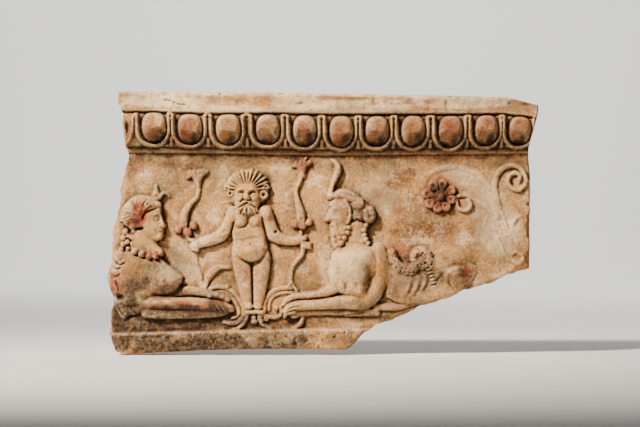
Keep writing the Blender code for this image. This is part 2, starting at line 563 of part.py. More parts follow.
# The curled tip of the wing behind the shoulder, drawn from its own middle
def curled_wing(t):
    t.lump(0, 3, 8, 10, 9, wall=0.3)
    t.limb((-29, 12, 4.6, 8), (-26, 3, 5.2, 9), (-18.5, -3.5, 5.4, 10), (-10, -5, 5.4, 11),
        (-4, 0, 5, 11), wall=0.4)
    loop = [(-7, 6, 4.2, 10), (-5, 12, 4.6, 10.6), (1, 14, 4.8, 10.6), (7.5, 9, 5, 10.6),
        (8.4, 1.6, 5, 10.4), (2, -1, 4.4, 10)]
    t.limb(*loop, wall=0.4)
    t.limb((8, -5, 3.6, 9), (10.6, -11, 3.8, 9), (12.4, -17, 3.6, 8.6), (13.6, -22, 2.8, 7), wall=0.4)


# The tall plant at the right is drawn 102 tall from the middle of its stem
def plant(clay):
    t = Tool(clay, (PLANT_PLACE * PLAQUE_WIDTH, FIELD_FLOOR + PLANT_LIFT), SCROLL_PLANT_HEIGHT / 102)
    leaf = [(-70, 43, 2, 1.2), (-60, 49, 3.4, 1.8), (-48, 51.6, 4, 2), (-38, 51, 4.2, 2),
        (-28, 47, 4.6, 2.2)]
    t.limb(*leaf, (-19, 40, 5, 2.4), (-11, 29, 5, 2.4), (-5, 15, 4.4, 2.4), (-2, 2, 3.8, 2.2), wall=0.3)
    stalk = [(-46, 21, 1.8, 2.8), (-40, 22.4, 2, 3.2), (-33, 22.4, 2, 3), (-25, 19, 2.2, 2.2),
        (-14, 11.6, 2.2, 1.8)]
    t.limb(*stalk, (-6, 4, 2, 1.4), wall=0.3)
    curl = [(-43, 18, 1.8, 4), (-42, 12, 1.9, 4.5), (-38, 8, 2.1, 4.5), (-32, 8.4, 2.2, 4.5),
        (-28.6, 13, 2, 4.2)]
    t.limb(*curl, (-31, 18, 1.6, 3.6), wall=0.5)
    stem = [(8, -16, 3, 1.6), (3, 0, 3, 1.8), (-2, 16, 3, 2.2), (-4.6, 30, 3, 2.6), (-2.6, 42, 2.8, 3),
        (3, 49.6, 2.8, 3.8)]
    t.limb(*stem, (11, 52.6, 2.6, 4.2), (19, 51, 2.4, 4.2), (25, 45, 2.3, 4), (27.6, 37, 2, 3.4), wall=0.35)
    volute = [(26, 33, 2, 3.4), (19.4, 28.2, 2.2, 4), (12.6, 30, 2.3, 4.2), (8.6, 36, 2.3, 4.2),
        (10.4, 42.6, 2.2, 4.2)]
    t.limb(*volute, (16.4, 45, 2, 4), (20.8, 41.6, 1.7, 3.8), (20, 37, 1.3, 3.2), wall=0.4)
    t.limb((10, -42, 2.4, 1.4), (11.6, -22, 2.4, 1.6), (12.6, -8, 2, 1.8), (17, -0.6, 1.8, 1.8),
        (23, 3, 1.4, 1.6), wall=0.3)
    t.line([(22, -3), (21.6, -18), (21, -34)], 1.4, -1.2)
    knob = [(13, -42, 2.2, 2), (19, -45.4, 2.4, 2.4), (23.6, -41.6, 2.2, 2.6), (20.6, -35, 1.8, 2.2)]
    t.limb(*knob, (13, -36, 1.6, 2), wall=0.4)
    rosette(t.at(-60, 21))


# Eight cupped petals round a boss
def rosette(t):
    r = ROSETTE_RADIUS
    petals = 8
    t.clay.heads.append((*t.home, r))
    t.lump(0, 0, 0.82 * r, 0.82 * r, 6, wall=0.5)
    for k in range(petals):
        angle = 2 * math.pi * (k + 0.35) / petals
        x = 0.76 * r * math.cos(angle)
        z = 0.72 * r * math.sin(angle)
        t.lump(x, z, 0.31 * r, 0.31 * r, 8.5, wall=0.55, blend=0.8)
        t.swell(x, z, 0.2 * r, 0.2 * r, -1.8)
    t.swell(0, 0, 0.5 * r, 0.5 * r, -2)
    t.lump(1.5, 0.4, 4.6, 3.2, 10, turn=45, blend=1)


def along(points, value):
    """Reads an edge or course line at any place along it, with its corners eased."""
    places, sizes = zip(*points)
    return sum(np.interp(value + d, places, sizes) for d in np.linspace(-CORNER_EASE, CORNER_EASE, 5)) / 5


def top_edge(x):
    drop = [(-0.5, 9), (-0.485, 5), (-0.463, 0.4), (-0.3, 1), (-0.13, 1.6), (0.05, 2.6), (0.26, 4.2),
        (0.43, 6), (0.5, 14)]
    return PLAQUE_HEIGHT / 2 - along(drop, x / PLAQUE_WIDTH)


def bottom_edge(x):
    """The moulded foot, then the long break up to the right."""
    foot = [(-0.5, 8), (-0.486, 4), (-0.46, 0), (-0.28, 4), (-0.14, 5.4), (0.058, 4.8)]
    broken = [(0.075, 11), (0.095, 21), (0.147, 33), (0.205, 43), (0.274, 55), (0.344, 65),
        (0.414, 76.5), (0.5, 88)]
    return along(foot + broken, x / PLAQUE_WIDTH) - PLAQUE_HEIGHT / 2


def left_edge(z):
    """The broken left end, furthest out behind the left sphinx's shoulder."""
    low = [(-0.5, 9), (-0.48, 5.5), (-0.44, 3.5), (-0.33, 3.7), (-0.28, 5), (-0.215, 0), (-0.17, 2.7),
        (-0.08, 4)]
    high = [(0.03, 8.8), (0.13, 13.8), (0.22, 18.2), (0.26, 20), (0.36, 17.5), (0.42, 15), (0.46, 12.5),
        (0.5, 13)]
    return along(low + high, z / PLAQUE_HEIGHT) - PLAQUE_WIDTH / 2


def right_edge(z):
    inset = [(-0.5, 7), (-0.17, 6.5), (0.18, 6), (0.26, 8), (0.31, 7.4), (0.36, 4), (0.4, 1), (0.43, 0),
        (0.5, 0.6)]
    return PLAQUE_WIDTH / 2 - along(inset, z / PLAQUE_HEIGHT)


def fascia_line(x):
    """Lower edge of the top band: it sags a little in the middle and drops at the right end."""
    sag = [(-0.5, -1.2), (-0.38, 0), (-0.28, 1.6), (-0.1, 1.2), (0, 2.4), (0.25, 2.2), (0.42, 1.8),
        (0.5, 6)]
    return PLAQUE_HEIGHT / 2 - FASCIA_HEIGHT - along(sag, x / PLAQUE_WIDTH)


def fillet_line(x):
    """Foot of the cornice, where the field begins."""
    sag = [(-0.5, 0.6), (-0.3, 1.2), (-0.2, 1.8), (0, 3.6), (0.1, 3.2), (0.25, 2.2), (0.5, 1.6)]
    height = FASCIA_HEIGHT + EGG_BAND_HEIGHT + FILLET_HEIGHT
    return PLAQUE_HEIGHT / 2 - height - along(sag, x / PLAQUE_WIDTH)


def cornice(clay):
    x = clay.x
    z = clay.z
    fascia = fascia_line(x)
    foot = fillet_line(x)
    band_foot = foot + FILLET_HEIGHT
    s = np.clip((z - band_foot) / (fascia - band_foot), 0, 1)
    ovolo = OVOLO_FOOT + (OVOLO_TOP - OVOLO_FOOT) * np.sqrt(1 - (1 - s) ** 2.2)
    fillet = FILLET_DEPTH * between(z, foot - COURSE_EDGE, foot + COURSE_EDGE)
    band = np.where(z > band_foot, ovolo, fillet)
    clay.h = np.where(z > foot - COURSE_EDGE, np.maximum(clay.h, band), clay.h)
    tool = Tool(clay, (0, 0), 1)
    count = 1 + int((PLAQUE_WIDTH - EGG_MARGIN_LEFT) / EGG_PITCH)
    places = []
    for k in range(count):
        drift = EGG_DRIFT * math.sin(math.pi * k / (count - 1))
        egg_x = EGG_MARGIN_LEFT - PLAQUE_WIDTH / 2 + EGG_PITCH * k + drift
        egg_z = float(fascia_line(egg_x) + fillet_line(egg_x) + FILLET_HEIGHT) / 2 + 0.6
        places.append((egg_x, egg_z))
        shell(tool, egg_x, egg_z)
    half_shell = [(-27.5, -17, 1.7, 4), (-22.5, -10, 2, 4.4), (-19.6, 9, 2.1, 4.4),
        (-17.5, 12.6, 2.2, 4), (-15, 10, 2.1, 3)]
    tool.at(*places[0]).ridge(*half_shell)
    for (left_x, left_z), (right_x, right_z) in zip(places, places[1:]):
        dart(tool, (left_x + right_x) / 2, (left_z + right_z) / 2)
    for egg_x, egg_z in places:
        egg(tool, egg_x + EGG_SHIFT, egg_z)
    lip = between(z, fascia - COURSE_EDGE, fascia + COURSE_EDGE)
    clay.h = clay.h * (1 - lip) + FASCIA_DEPTH * lip


def shell(t, x, z):
    """The ridge that runs down one side of an egg, under it and up the other."""
    rx = EGG_WIDTH / 2 + SHELL_GAP
    rz = EGG_HEIGHT / 2 + 2
    shoulder = 0.4 * EGG_HEIGHT
    rows = [(x - rx, z + shoulder, 2.7, SHELL_RISE)]
    steps = 12
    for k in range(steps + 1):
        angle = math.pi * k / steps
        full = 1 + SHELL_FULLNESS * abs(math.sin(2 * angle))
        rows.append((x - rx * full * math.cos(angle), z - 0.3 - rz * full * math.sin(angle), 3, SHELL_RISE))
    t.ridge(*rows, (x + rx, z + shoulder, 2.7, SHELL_RISE))


def dart(t, x, z):
    """The hairpin that joins two shells at the top, its slot, and the dart's point at the foot."""
    reach = (EGG_PITCH - EGG_WIDTH) / 2 - SHELL_GAP
    bridge = [(x - reach, z + 12.6, 2, 2.5), (x - 1.8, z + 14.6, 2.3, 3.6), (x + 1.8, z + 14.6, 2.3, 3.6)]
    t.ridge(*bridge, (x + reach, z + 12.6, 2, 2.5))
    t.line([(x, z + 11.4), (x, z - 8)], 1.4, -5)
    for side in (-1, 1):
        t.swell(x + 3 * side, z - 14, 2.6, 4.2, -5)
    t.ridge((x, z - 6, 1, 2), (x, z - 11, 1.8, 4), (x, z - 15.8, 2.6, 3))


def egg(t, x, z):
    """An egg in its trough."""
    for margin, rise, wall in ((1.8, -EGG_TROUGH, 1), (0, EGG_TROUGH + EGG_RISE, 0.22)):
        cells, q = t.oval(x, z, EGG_WIDTH / 2 + margin, EGG_HEIGHT / 2 + margin, 0)
        t.clay.h[cells] += rise * section(q, ROUND, wall)


def base_band(clay):
    top = FIELD_FLOOR - BASE_DROP * between(-clay.x, 0, PLAQUE_WIDTH / 2)
    step = BASE_DEPTH * between(-clay.z, -top - COURSE_EDGE, -top + 2 * COURSE_EDGE)
    clay.h = np.maximum(clay.h, step)


def relief():
    clay = Clay()
    god(clay)
    left_sphinx(clay)
    right_sphinx(clay)
    plant(clay)
    base_band(clay)
    cornice(clay)
    clay.h = soften(clay.h, SOFTENING / CELL)
    return clay


def jag(place, seed):
    """Uneven line of a break, in millimetres."""
    rng = np.random.default_rng(seed)
    total = 0
    for length in (47, 21, 11, 5.3):
        total = total + length / 60 * np.sin(2 * math.pi * (place / length + rng.random()))
    return BREAK_ROUGHNESS * total


def easy_bottom(x):
    """The bottom edge with its steps ironed out, for the grid lines further up."""
    spread = 0.1 * PLAQUE_WIDTH
    return sum(bottom_edge(x + d) for d in np.linspace(-spread, spread, 9)) / 9


def sheet(columns, rows):
    """Points of a grid that fills the plaque's outline."""
    u, v = np.meshgrid(np.linspace(0, 1, columns + 1), np.linspace(0, 1, rows + 1))
    x = (u - 0.5) * PLAQUE_WIDTH
    for _ in range(6):
        easy = easy_bottom(x)
        z = easy + v * (top_edge(x) - easy) + (bottom_edge(x) - easy) * (1 - v) ** 6
        x = left_edge(z) + u * (right_edge(z) - left_edge(z))
    x = x + jag(z, SEED) * (1 - u) ** 12
    z = z + jag(x, SEED + 1) * (1 - v) ** 12 * between(x, 0.05 * PLAQUE_WIDTH, 0.1 * PLAQUE_WIDTH)
    return x, z


def edge_round(x, z):
    """How far the front falls back close to the rim."""
    slope = (bottom_edge(x + 4) - bottom_edge(x - 4)) / 8
    gaps = [x - left_edge(z), right_edge(z) - x, top_edge(x) - z, (z - bottom_edge(x)) / np.hypot(1, slope)]
    near = np.clip(np.minimum.reduce(gaps) / FRONT_EDGE_ROUND, 0, 1)
    return FRONT_EDGE_ROUND * (1 - np.sqrt(1 - (1 - near) ** 2))


def rim_of(columns, rows):
    """Index pairs once round the grid's rim, anticlockwise from the lower left as seen from the front."""
    bottom = [(0, j) for j in range(columns)]
    right = [(i, columns) for i in range(rows)]
    top = [(rows, j) for j in range(columns, 0, -1)]
    left = [(i, 0) for i in range(rows, 0, -1)]
    return bottom + right + top + left


def grid_faces(index, front):
    """Quads of a grid of vertex numbers, facing the front or the back."""
    quads = np.stack([index[:-1, :-1], index[:-1, 1:], index[1:, 1:], index[1:, :-1]], axis=-1)
    quads = quads.reshape(-1, 4)
    return quads if front else quads[:, ::-1]


def plaque_mesh():
    """A closed shell: relief in front, uneven walls, flat back."""
    clay = relief()
    columns = int(PLAQUE_WIDTH / GRID_STEP)
    rows = int(PLAQUE_HEIGHT / GRID_STEP)
    x, z = sheet(columns, rows)
    depth = SLAB + clay.read(x, z) - edge_round(x, z)
    shape = (rows + 1, columns + 1)
    front = np.arange(x.size).reshape(shape)
    points = [np.column_stack([x.ravel(), -depth.ravel(), z.ravel()])]
    rim = np.array(rim_of(columns, rows))
    rim_x = x[rim[:, 0], rim[:, 1]]
    rim_z = z[rim[:, 0], rim[:, 1]]
    rim_y = -depth[rim[:, 0], rim[:, 1]]
    inward = np.stack([-(np.roll(rim_z, -3) - np.roll(rim_z, 3)), np.roll(rim_x, -3) - np.roll(rim_x, 3)])
    inward /= np.hypot(*inward)
    faces = [grid_faces(front, True)]
    ring = front[rim[:, 0], rim[:, 1]]
    for k in range(1, WALL_STEPS + 1):
        share = k / WALL_STEPS
        wave = mottle(rim_x + rim_z, rim_z, WALL_WAVE_SIZE, SEED + k)
        inset = BACK_CHAMFER * share**4 + WALL_WAVE * np.sin(math.pi * share) * wave
        wall = [rim_x + inset * inward[0], rim_y * (1 - share), rim_z + inset * inward[1]]
        new = np.arange(len(rim)) + sum(map(len, points))
        points.append(np.column_stack(wall))
        faces.append(np.column_stack([ring, new, np.roll(new, -1), np.roll(ring, -1)]))
        ring = new
    back = np.zeros(shape, int)
    back[rim[:, 0], rim[:, 1]] = ring
    inner = (rows - 1) * (columns - 1)
    back[1:-1, 1:-1] = np.arange(inner).reshape(rows - 1, columns - 1) + sum(map(len, points))
    inner_x = x[1:-1, 1:-1].ravel() * (1 - 2 * BACK_CHAMFER / PLAQUE_WIDTH)
    inner_z = z[1:-1, 1:-1].ravel() * (1 - 2 * BACK_CHAMFER / PLAQUE_HEIGHT)
    points.append(np.column_stack([inner_x, np.zeros(inner), inner_z]))
    faces.append(grid_faces(back, False))
    mesh = bpy.data.meshes.new("plaque")
    mesh.from_pydata((np.vstack(points) * MM).tolist(), [], np.vstack(faces).tolist())
    mesh.update()
    spots = [np.hypot(x - a, z - b) < r for a, b, r in clay.heads]
    return mesh, front[np.logical_or.reduce(spots)]


def terracotta():
    material = bpy.data.materials.new("fired terracotta")
    material.use_nodes = True
    shader = material.node_tree.nodes["Principled BSDF"]
    channels = [int(CLAY_COLOUR[k : k + 2], 16) / 255 for k in (0, 2, 4)]
    linear = [((c + 0.055) / 1.055) ** 2.4 for c in channels]
    shader.inputs["Base Color"].default_value = (*linear, 1)
    shader.inputs["Roughness"].default_value = 0.85
    return material


def main():
    for thing in list(bpy.data.objects):
        bpy.data.objects.remove(thing, do_unlink=True)
    mesh, heads = plaque_mesh()
    plaque = bpy.data.objects.new("plaque", mesh)
    bpy.context.scene.collection.objects.link(plaque)
    keep = plaque.vertex_groups.new(name="heads")
    keep.add(heads.tolist(), 1, "REPLACE")
    thin = plaque.modifiers.new("thin", "DECIMATE")
    thin.vertex_group = keep.name
    thin.invert_vertex_group = True
    thin.vertex_group_factor = HEAD_DETAIL
    thin.ratio = TRIANGLES / (2 * len(mesh.polygons))
    thin.use_collapse_triangulate = True
    mesh.materials.append(terracotta())


main()
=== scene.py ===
# The plaque's fine relief, worn surface, colours and light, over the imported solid.
# The relief is drawn in millimetres on a sheet of clay; x runs to the right, z up, the front faces -Y.

import math

import bpy
import numpy as np
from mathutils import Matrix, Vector


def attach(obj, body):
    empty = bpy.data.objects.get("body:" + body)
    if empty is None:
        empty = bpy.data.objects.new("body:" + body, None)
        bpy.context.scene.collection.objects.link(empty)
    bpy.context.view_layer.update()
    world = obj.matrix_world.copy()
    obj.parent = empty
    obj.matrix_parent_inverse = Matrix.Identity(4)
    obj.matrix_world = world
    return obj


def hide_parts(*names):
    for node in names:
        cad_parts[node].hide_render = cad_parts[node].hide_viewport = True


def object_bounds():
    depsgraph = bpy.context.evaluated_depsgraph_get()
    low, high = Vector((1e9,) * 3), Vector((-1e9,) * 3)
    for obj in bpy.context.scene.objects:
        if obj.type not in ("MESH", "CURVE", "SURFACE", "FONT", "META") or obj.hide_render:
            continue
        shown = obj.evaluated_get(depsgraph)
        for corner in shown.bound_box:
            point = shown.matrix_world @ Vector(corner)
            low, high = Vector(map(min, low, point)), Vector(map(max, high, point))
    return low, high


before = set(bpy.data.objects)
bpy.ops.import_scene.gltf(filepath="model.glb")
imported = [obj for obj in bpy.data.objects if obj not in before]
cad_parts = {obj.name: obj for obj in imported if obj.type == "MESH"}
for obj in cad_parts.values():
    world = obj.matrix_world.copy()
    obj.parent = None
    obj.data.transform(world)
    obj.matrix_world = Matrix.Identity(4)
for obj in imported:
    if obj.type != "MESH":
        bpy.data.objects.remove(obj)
cad_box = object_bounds()

MM = 0.001

# Plaque, as in the solid
PLAQUE_WIDTH = 430.0
PLAQUE_HEIGHT = 263.0
SLAB = 26.0
BACK_CHAMFER = 2.5
BREAK_ROUGHNESS = 1.6
FASCIA_HEIGHT = 20.0
FASCIA_DEPTH = 27.0
EGG_BAND_HEIGHT = 34.0
OVOLO_TOP = 23.0
OVOLO_FOOT = 3.4
FILLET_HEIGHT = 6.0
FILLET_DEPTH = 2.6
BASE_HEIGHT = 26.0
BASE_DEPTH = 6.0
BASE_SLOPE = 3.6
BASE_LEAN = 0.6
RIM_ROUND = 2.2
RIM_CHIP = 1.8
CORNER_CHIP = 6.5
LEFT_FLAKE = 5.5
RIGHT_FLAKE = 3.6
RIGHT_FLAKES = ((-15, 10), (-42, -27), (17, 22))
CORNER_EASE = 0.006
OUTLINE_SEED = 31

# Eggs from left to right: middle, half width and half height
EGGS = (
    (-168.5, 96.0, 12.6, 15.6), (-132.6, 94.6, 12.8, 15.4), (-94.6, 94.2, 12.8, 15.6),
    (-55.0, 94.0, 12.4, 15.2), (-18.4, 92.6, 12.2, 15.6), (18.2, 92.0, 12.4, 15.8),
    (53.8, 92.2, 12.2, 15.2), (89.6, 92.4, 12.4, 15.4), (127.0, 92.2, 12.4, 15.6),
    (162.6, 93.2, 12.0, 15.2), (195.8, 92.8, 11.6, 14.4),
)
SHELL_GAP = 3.1
EGG_SHIFT = 1.3
EGG_TROUGH = 3.6
EGG_RISE = 9.0
EGG_PROUD = 1.2
EGG_TOP_BEND = 2.4
EGG_FOOT_BEND = 2.15
OVOLO_FULLNESS = 1.9
OVOLO_EASE = 0.72
SEAM_DEPTH = 1.6

# Figures, each by its own height, and their places
GOD_HEIGHT = 142.0
LEFT_SPHINX_HEIGHT = 135.0
RIGHT_SPHINX_HEIGHT = 158.0
SCROLL_PLANT_HEIGHT = 102.0
ROSETTE_RADIUS = 17.0
FIELD_FLOOR = BASE_HEIGHT - PLAQUE_HEIGHT / 2
GOD_PLACE = -0.1674
GOD_LIFT = 19.0
LEFT_SPHINX_PLACE = -0.3419
RIGHT_SPHINX_PLACE = 0.0419
SPHINX_LIFT = 11.0
PLANT_PLACE = 0.414
PLANT_LIFT = 111.0

# Heights at which the figures' own millimetres were drawn
GOD_DRAWN = 142
LEFT_SPHINX_DRAWN = 135
RIGHT_SPHINX_DRAWN = 158
PLANT_DRAWN = 102

# Working sheet and mesh
CELL = 0.5
GRID_STEP = 0.72
WALL_STEPS = 12
WALL_STRETCH = 60
GRAIN_RADIUS = 0.55
GRAIN_DENSITY = 32000.0
GRAIN_SEED = 7
TORN_ENOUGH = 0.7
TRIANGLES = 185000
SHEET_X = PLAQUE_WIDTH / 2 + 12
SHEET_Z = PLAQUE_HEIGHT / 2 + 10
SOFTENING = 0.42
PITS = 420
SCRATCHES = (((-157, 122.8), (-151, 122.2)), ((-148, 120.6), (-146, 120.2)), ((-144, 118.8), (-136, 118)))
TOP_BITES = ((-193, 4), (-176, 3), (-41, 4.5), (-20, 2.5), (48, 3), (128, 4.5), (172, 3))
NEAR_REACH = 1.3
WIDE_REACH = 4
LEE_CELLS = 3
MOULDED_WALL = 0.3
DAB_SPREAD = 1.2
JAG_LENGTHS = (47, 21, 11, 5.3, 2.6, 1.4)
JAG_FADE = 12
SETTLING_ROUNDS = 6

# Photograph's frame: one millimetre to a pixel at the relief, seen level from in front
VIEW_WIDTH = 0.64
VIEW_MIDDLE = (-0.002, -0.035, 0.010)
CAMERA_DISTANCE = 2.6
SENSOR = 36.0

# Floor and backdrop, in metres
SWEEP_NEAR = -3.5
SWEEP_FAR = 4.4
SWEEP_TOP = 3.2
SWEEP_HALF = 6.0
SWEEP_RADIUS = 1.6
SWEEP_STEPS = 16

# Lamps: name, place, aim, size, power, colour, spread in degrees
LAMPS = (
    ("key", (-0.98, -1.1, 1.12), (-0.03, 0, 0.02), 0.24, 12, "FFF4E6", 60),
    ("backdrop wash", (0, 2.2, 2.6), (0, 4.2, 0.6), 2.0, 150, "FFFFFF", 180),
    ("back light", (1.2, 1.6, 1.4), (0, 0, 0), 1.2, 12, "FFFFFF", 180),
)
AIR = "E6E6E8"
AIR_STRENGTH = 0.02
PAPER = "E6E5E2"
PAPER_ROUGHNESS = 0.8

# Colours of the clay
BUFF = "C18F55"
SPECKS = "FFEFD0"
DUST_AND_SHADE = "3A281A"
WORN = "EBCB9E"
PITTED = "3E2412"
FRESH = "B06C36"
FRESH_PALE = "D9A674"
FRESH_DARK = "5E3018"
TEMPER = "2E2620"
CLAY_ROUGHNESS = 0.92
CLAY_SHINE = 0.25
COARSE_BUMP = 1.4
FINE_BUMP = 0.5
BUMP_STRENGTH = 0.8
# Clouds over the buff: colour, spot size, detail, roughness, where they start and fill, strength
CLOUDS = (
    ("866A3C", 38, 5, 0.6, 0.44, 0.6, 0.85), ("A2643C", 31, 6, 0.6, 0.5, 0.64, 0.6),
    ("F0CB98", 22, 6, 0.7, 0.5, 0.66, 0.75), ("5A361C", 12, 8, 0.75, 0.51, 0.7, 0.65),
    ("7E5230", 2.4, 4, 0.75, 0.46, 0.62, 0.65),
)
# Coats of paint, stain and slip from the lowest up, with their strengths; the slip coat also holds painted
# highlights and the stain coat some painted shade
COATS = (("grey", 0.6), ("slip_and_highlight", 0.75), ("stain_and_shade", 0.85), ("ochre", 0.75), ("pink", 0.8), ("red", 0.95))

# Sockets of the colour mixing node
MIX_A = 6
MIX_B = 7
MIX_RESULT = 2

# Cross sections of a stroke
ROUND = "round"
SOFT = "soft"


def between(value, low, high):
    """0 below low, 1 above high, smooth in between."""
    t = np.clip((value - low) / (high - low), 0, 1)
    return t * t * (3 - 2 * t)


def curve(points, steps=7):
    """A smooth curve through rows of numbers."""
    p = np.array(points, float)
    if len(p) < 3:
        return p
    ends = np.vstack([2 * p[0] - p[1], p, 2 * p[-1] - p[-2]])
    t = np.linspace(0, 1, steps, endpoint=False)[:, None]
    rows = []
    for a, b, c, d in zip(ends, ends[1:], ends[2:], ends[3:]):
        bend = (2 * a - 5 * b + 4 * c - d) * t**2 + (3 * b - a - 3 * c + d) * t**3
        rows.append(0.5 * (2 * b + (c - a) * t + bend))
    return np.vstack(rows + [p[-1:]])


def mottle(x, z, size, seed):
    """A smooth random field from -1 to 1 with spots of one size."""
    rng = np.random.default_rng(seed)
    u = (x + SHEET_X) / size + 2
    v = (z + SHEET_Z) / size + 2
    lattice = rng.uniform(-1, 1, (int(v.max()) + 4, int(u.max()) + 4))
    i = np.floor(v).astype(int)
    j = np.floor(u).astype(int)
    a = between(v - i, 0, 1)
    b = between(u - j, 0, 1)
    high = lattice[i + 1, j] * (1 - b) + lattice[i + 1, j + 1] * b
    low = lattice[i, j] * (1 - b) + lattice[i, j + 1] * b
    return low * (1 - a) + high * a


def fractal(x, z, size, seed, octaves=4, gain=0.55):
    """Mottle with finer and fainter mottle on top."""
    total = 0
    for k in range(octaves):
        total = total + gain**k * mottle(x, z, size / 2**k, seed + 17 * k)
    return total


def soften(field, sigma):
    """Blurs the clay a little, as a mould and a wet hand do."""
    reach = max(1, int(round(3 * sigma)))
    taps = np.exp(-0.5 * (np.arange(-reach, reach + 1) / sigma) ** 2)
    taps /= taps.sum()
    for axis in (0, 1):
        edges = [(0, 0), (0, 0)]
        edges[axis] = (reach, reach)
        padded = np.pad(field, edges, mode="edge")
        size = field.shape[axis]
        field = sum(w * padded.take(range(k, k + size), axis) for k, w in enumerate(taps))
    return field


def meet(a, b, k):
    """The higher of two surfaces, with their join rounded over k and no lift on the bare ground."""
    low = np.minimum(a, b)
    high = np.maximum(a, b)
    k = np.minimum(k, 1.6 * np.maximum(low, 0)) + 1e-6
    return high + np.maximum(k - (high - low), 0) ** 2 / (4 * k)


def section(q, shape, wall):
    """Height share across a form: q is 0 on its middle line and 1 at its rim, as distance squared."""
    inside = np.clip(1 - q, 0, 1)
    if shape == SOFT:
        return inside**2
    return wall * np.clip(inside * 5, 0, 1) + (1 - wall) * np.sqrt(inside)


class Clay:
    """The relief's height above the field's ground and its paint, over a sheet of small cells."""

    def __init__(self):
        self.xs = np.arange(-SHEET_X, SHEET_X, CELL)
        self.zs = np.arange(-SHEET_Z, SHEET_Z, CELL)
        self.x, self.z = np.meshgrid(self.xs, self.zs)
        self.h = np.zeros_like(self.x)
        self.paint = {}

    def window(self, x, z, reach):
        """The cells around some points."""
        i = (np.array([np.min(z) - reach, np.max(z) + reach]) + SHEET_Z) / CELL
        j = (np.array([np.min(x) - reach, np.max(x) + reach]) + SHEET_X) / CELL
        i = np.clip(i + (-1, 2), 0, len(self.zs)).astype(int)
        j = np.clip(j + (-1, 2), 0, len(self.xs)).astype(int)
        return slice(*i), slice(*j)

    def read(self, field, x, z):
        """A field's value at any points, between the cells."""
        u = np.clip((x + SHEET_X) / CELL, 0, len(self.xs) - 1.001)
        v = np.clip((z + SHEET_Z) / CELL, 0, len(self.zs) - 1.001)
        i = np.floor(v).astype(int)
        j = np.floor(u).astype(int)
        a = v - i
        b = u - j
        low = field[i, j] * (1 - b) + field[i, j + 1] * b
        high = field[i + 1, j] * (1 - b) + field[i + 1, j + 1] * b
        return low * (1 - a) + high * a


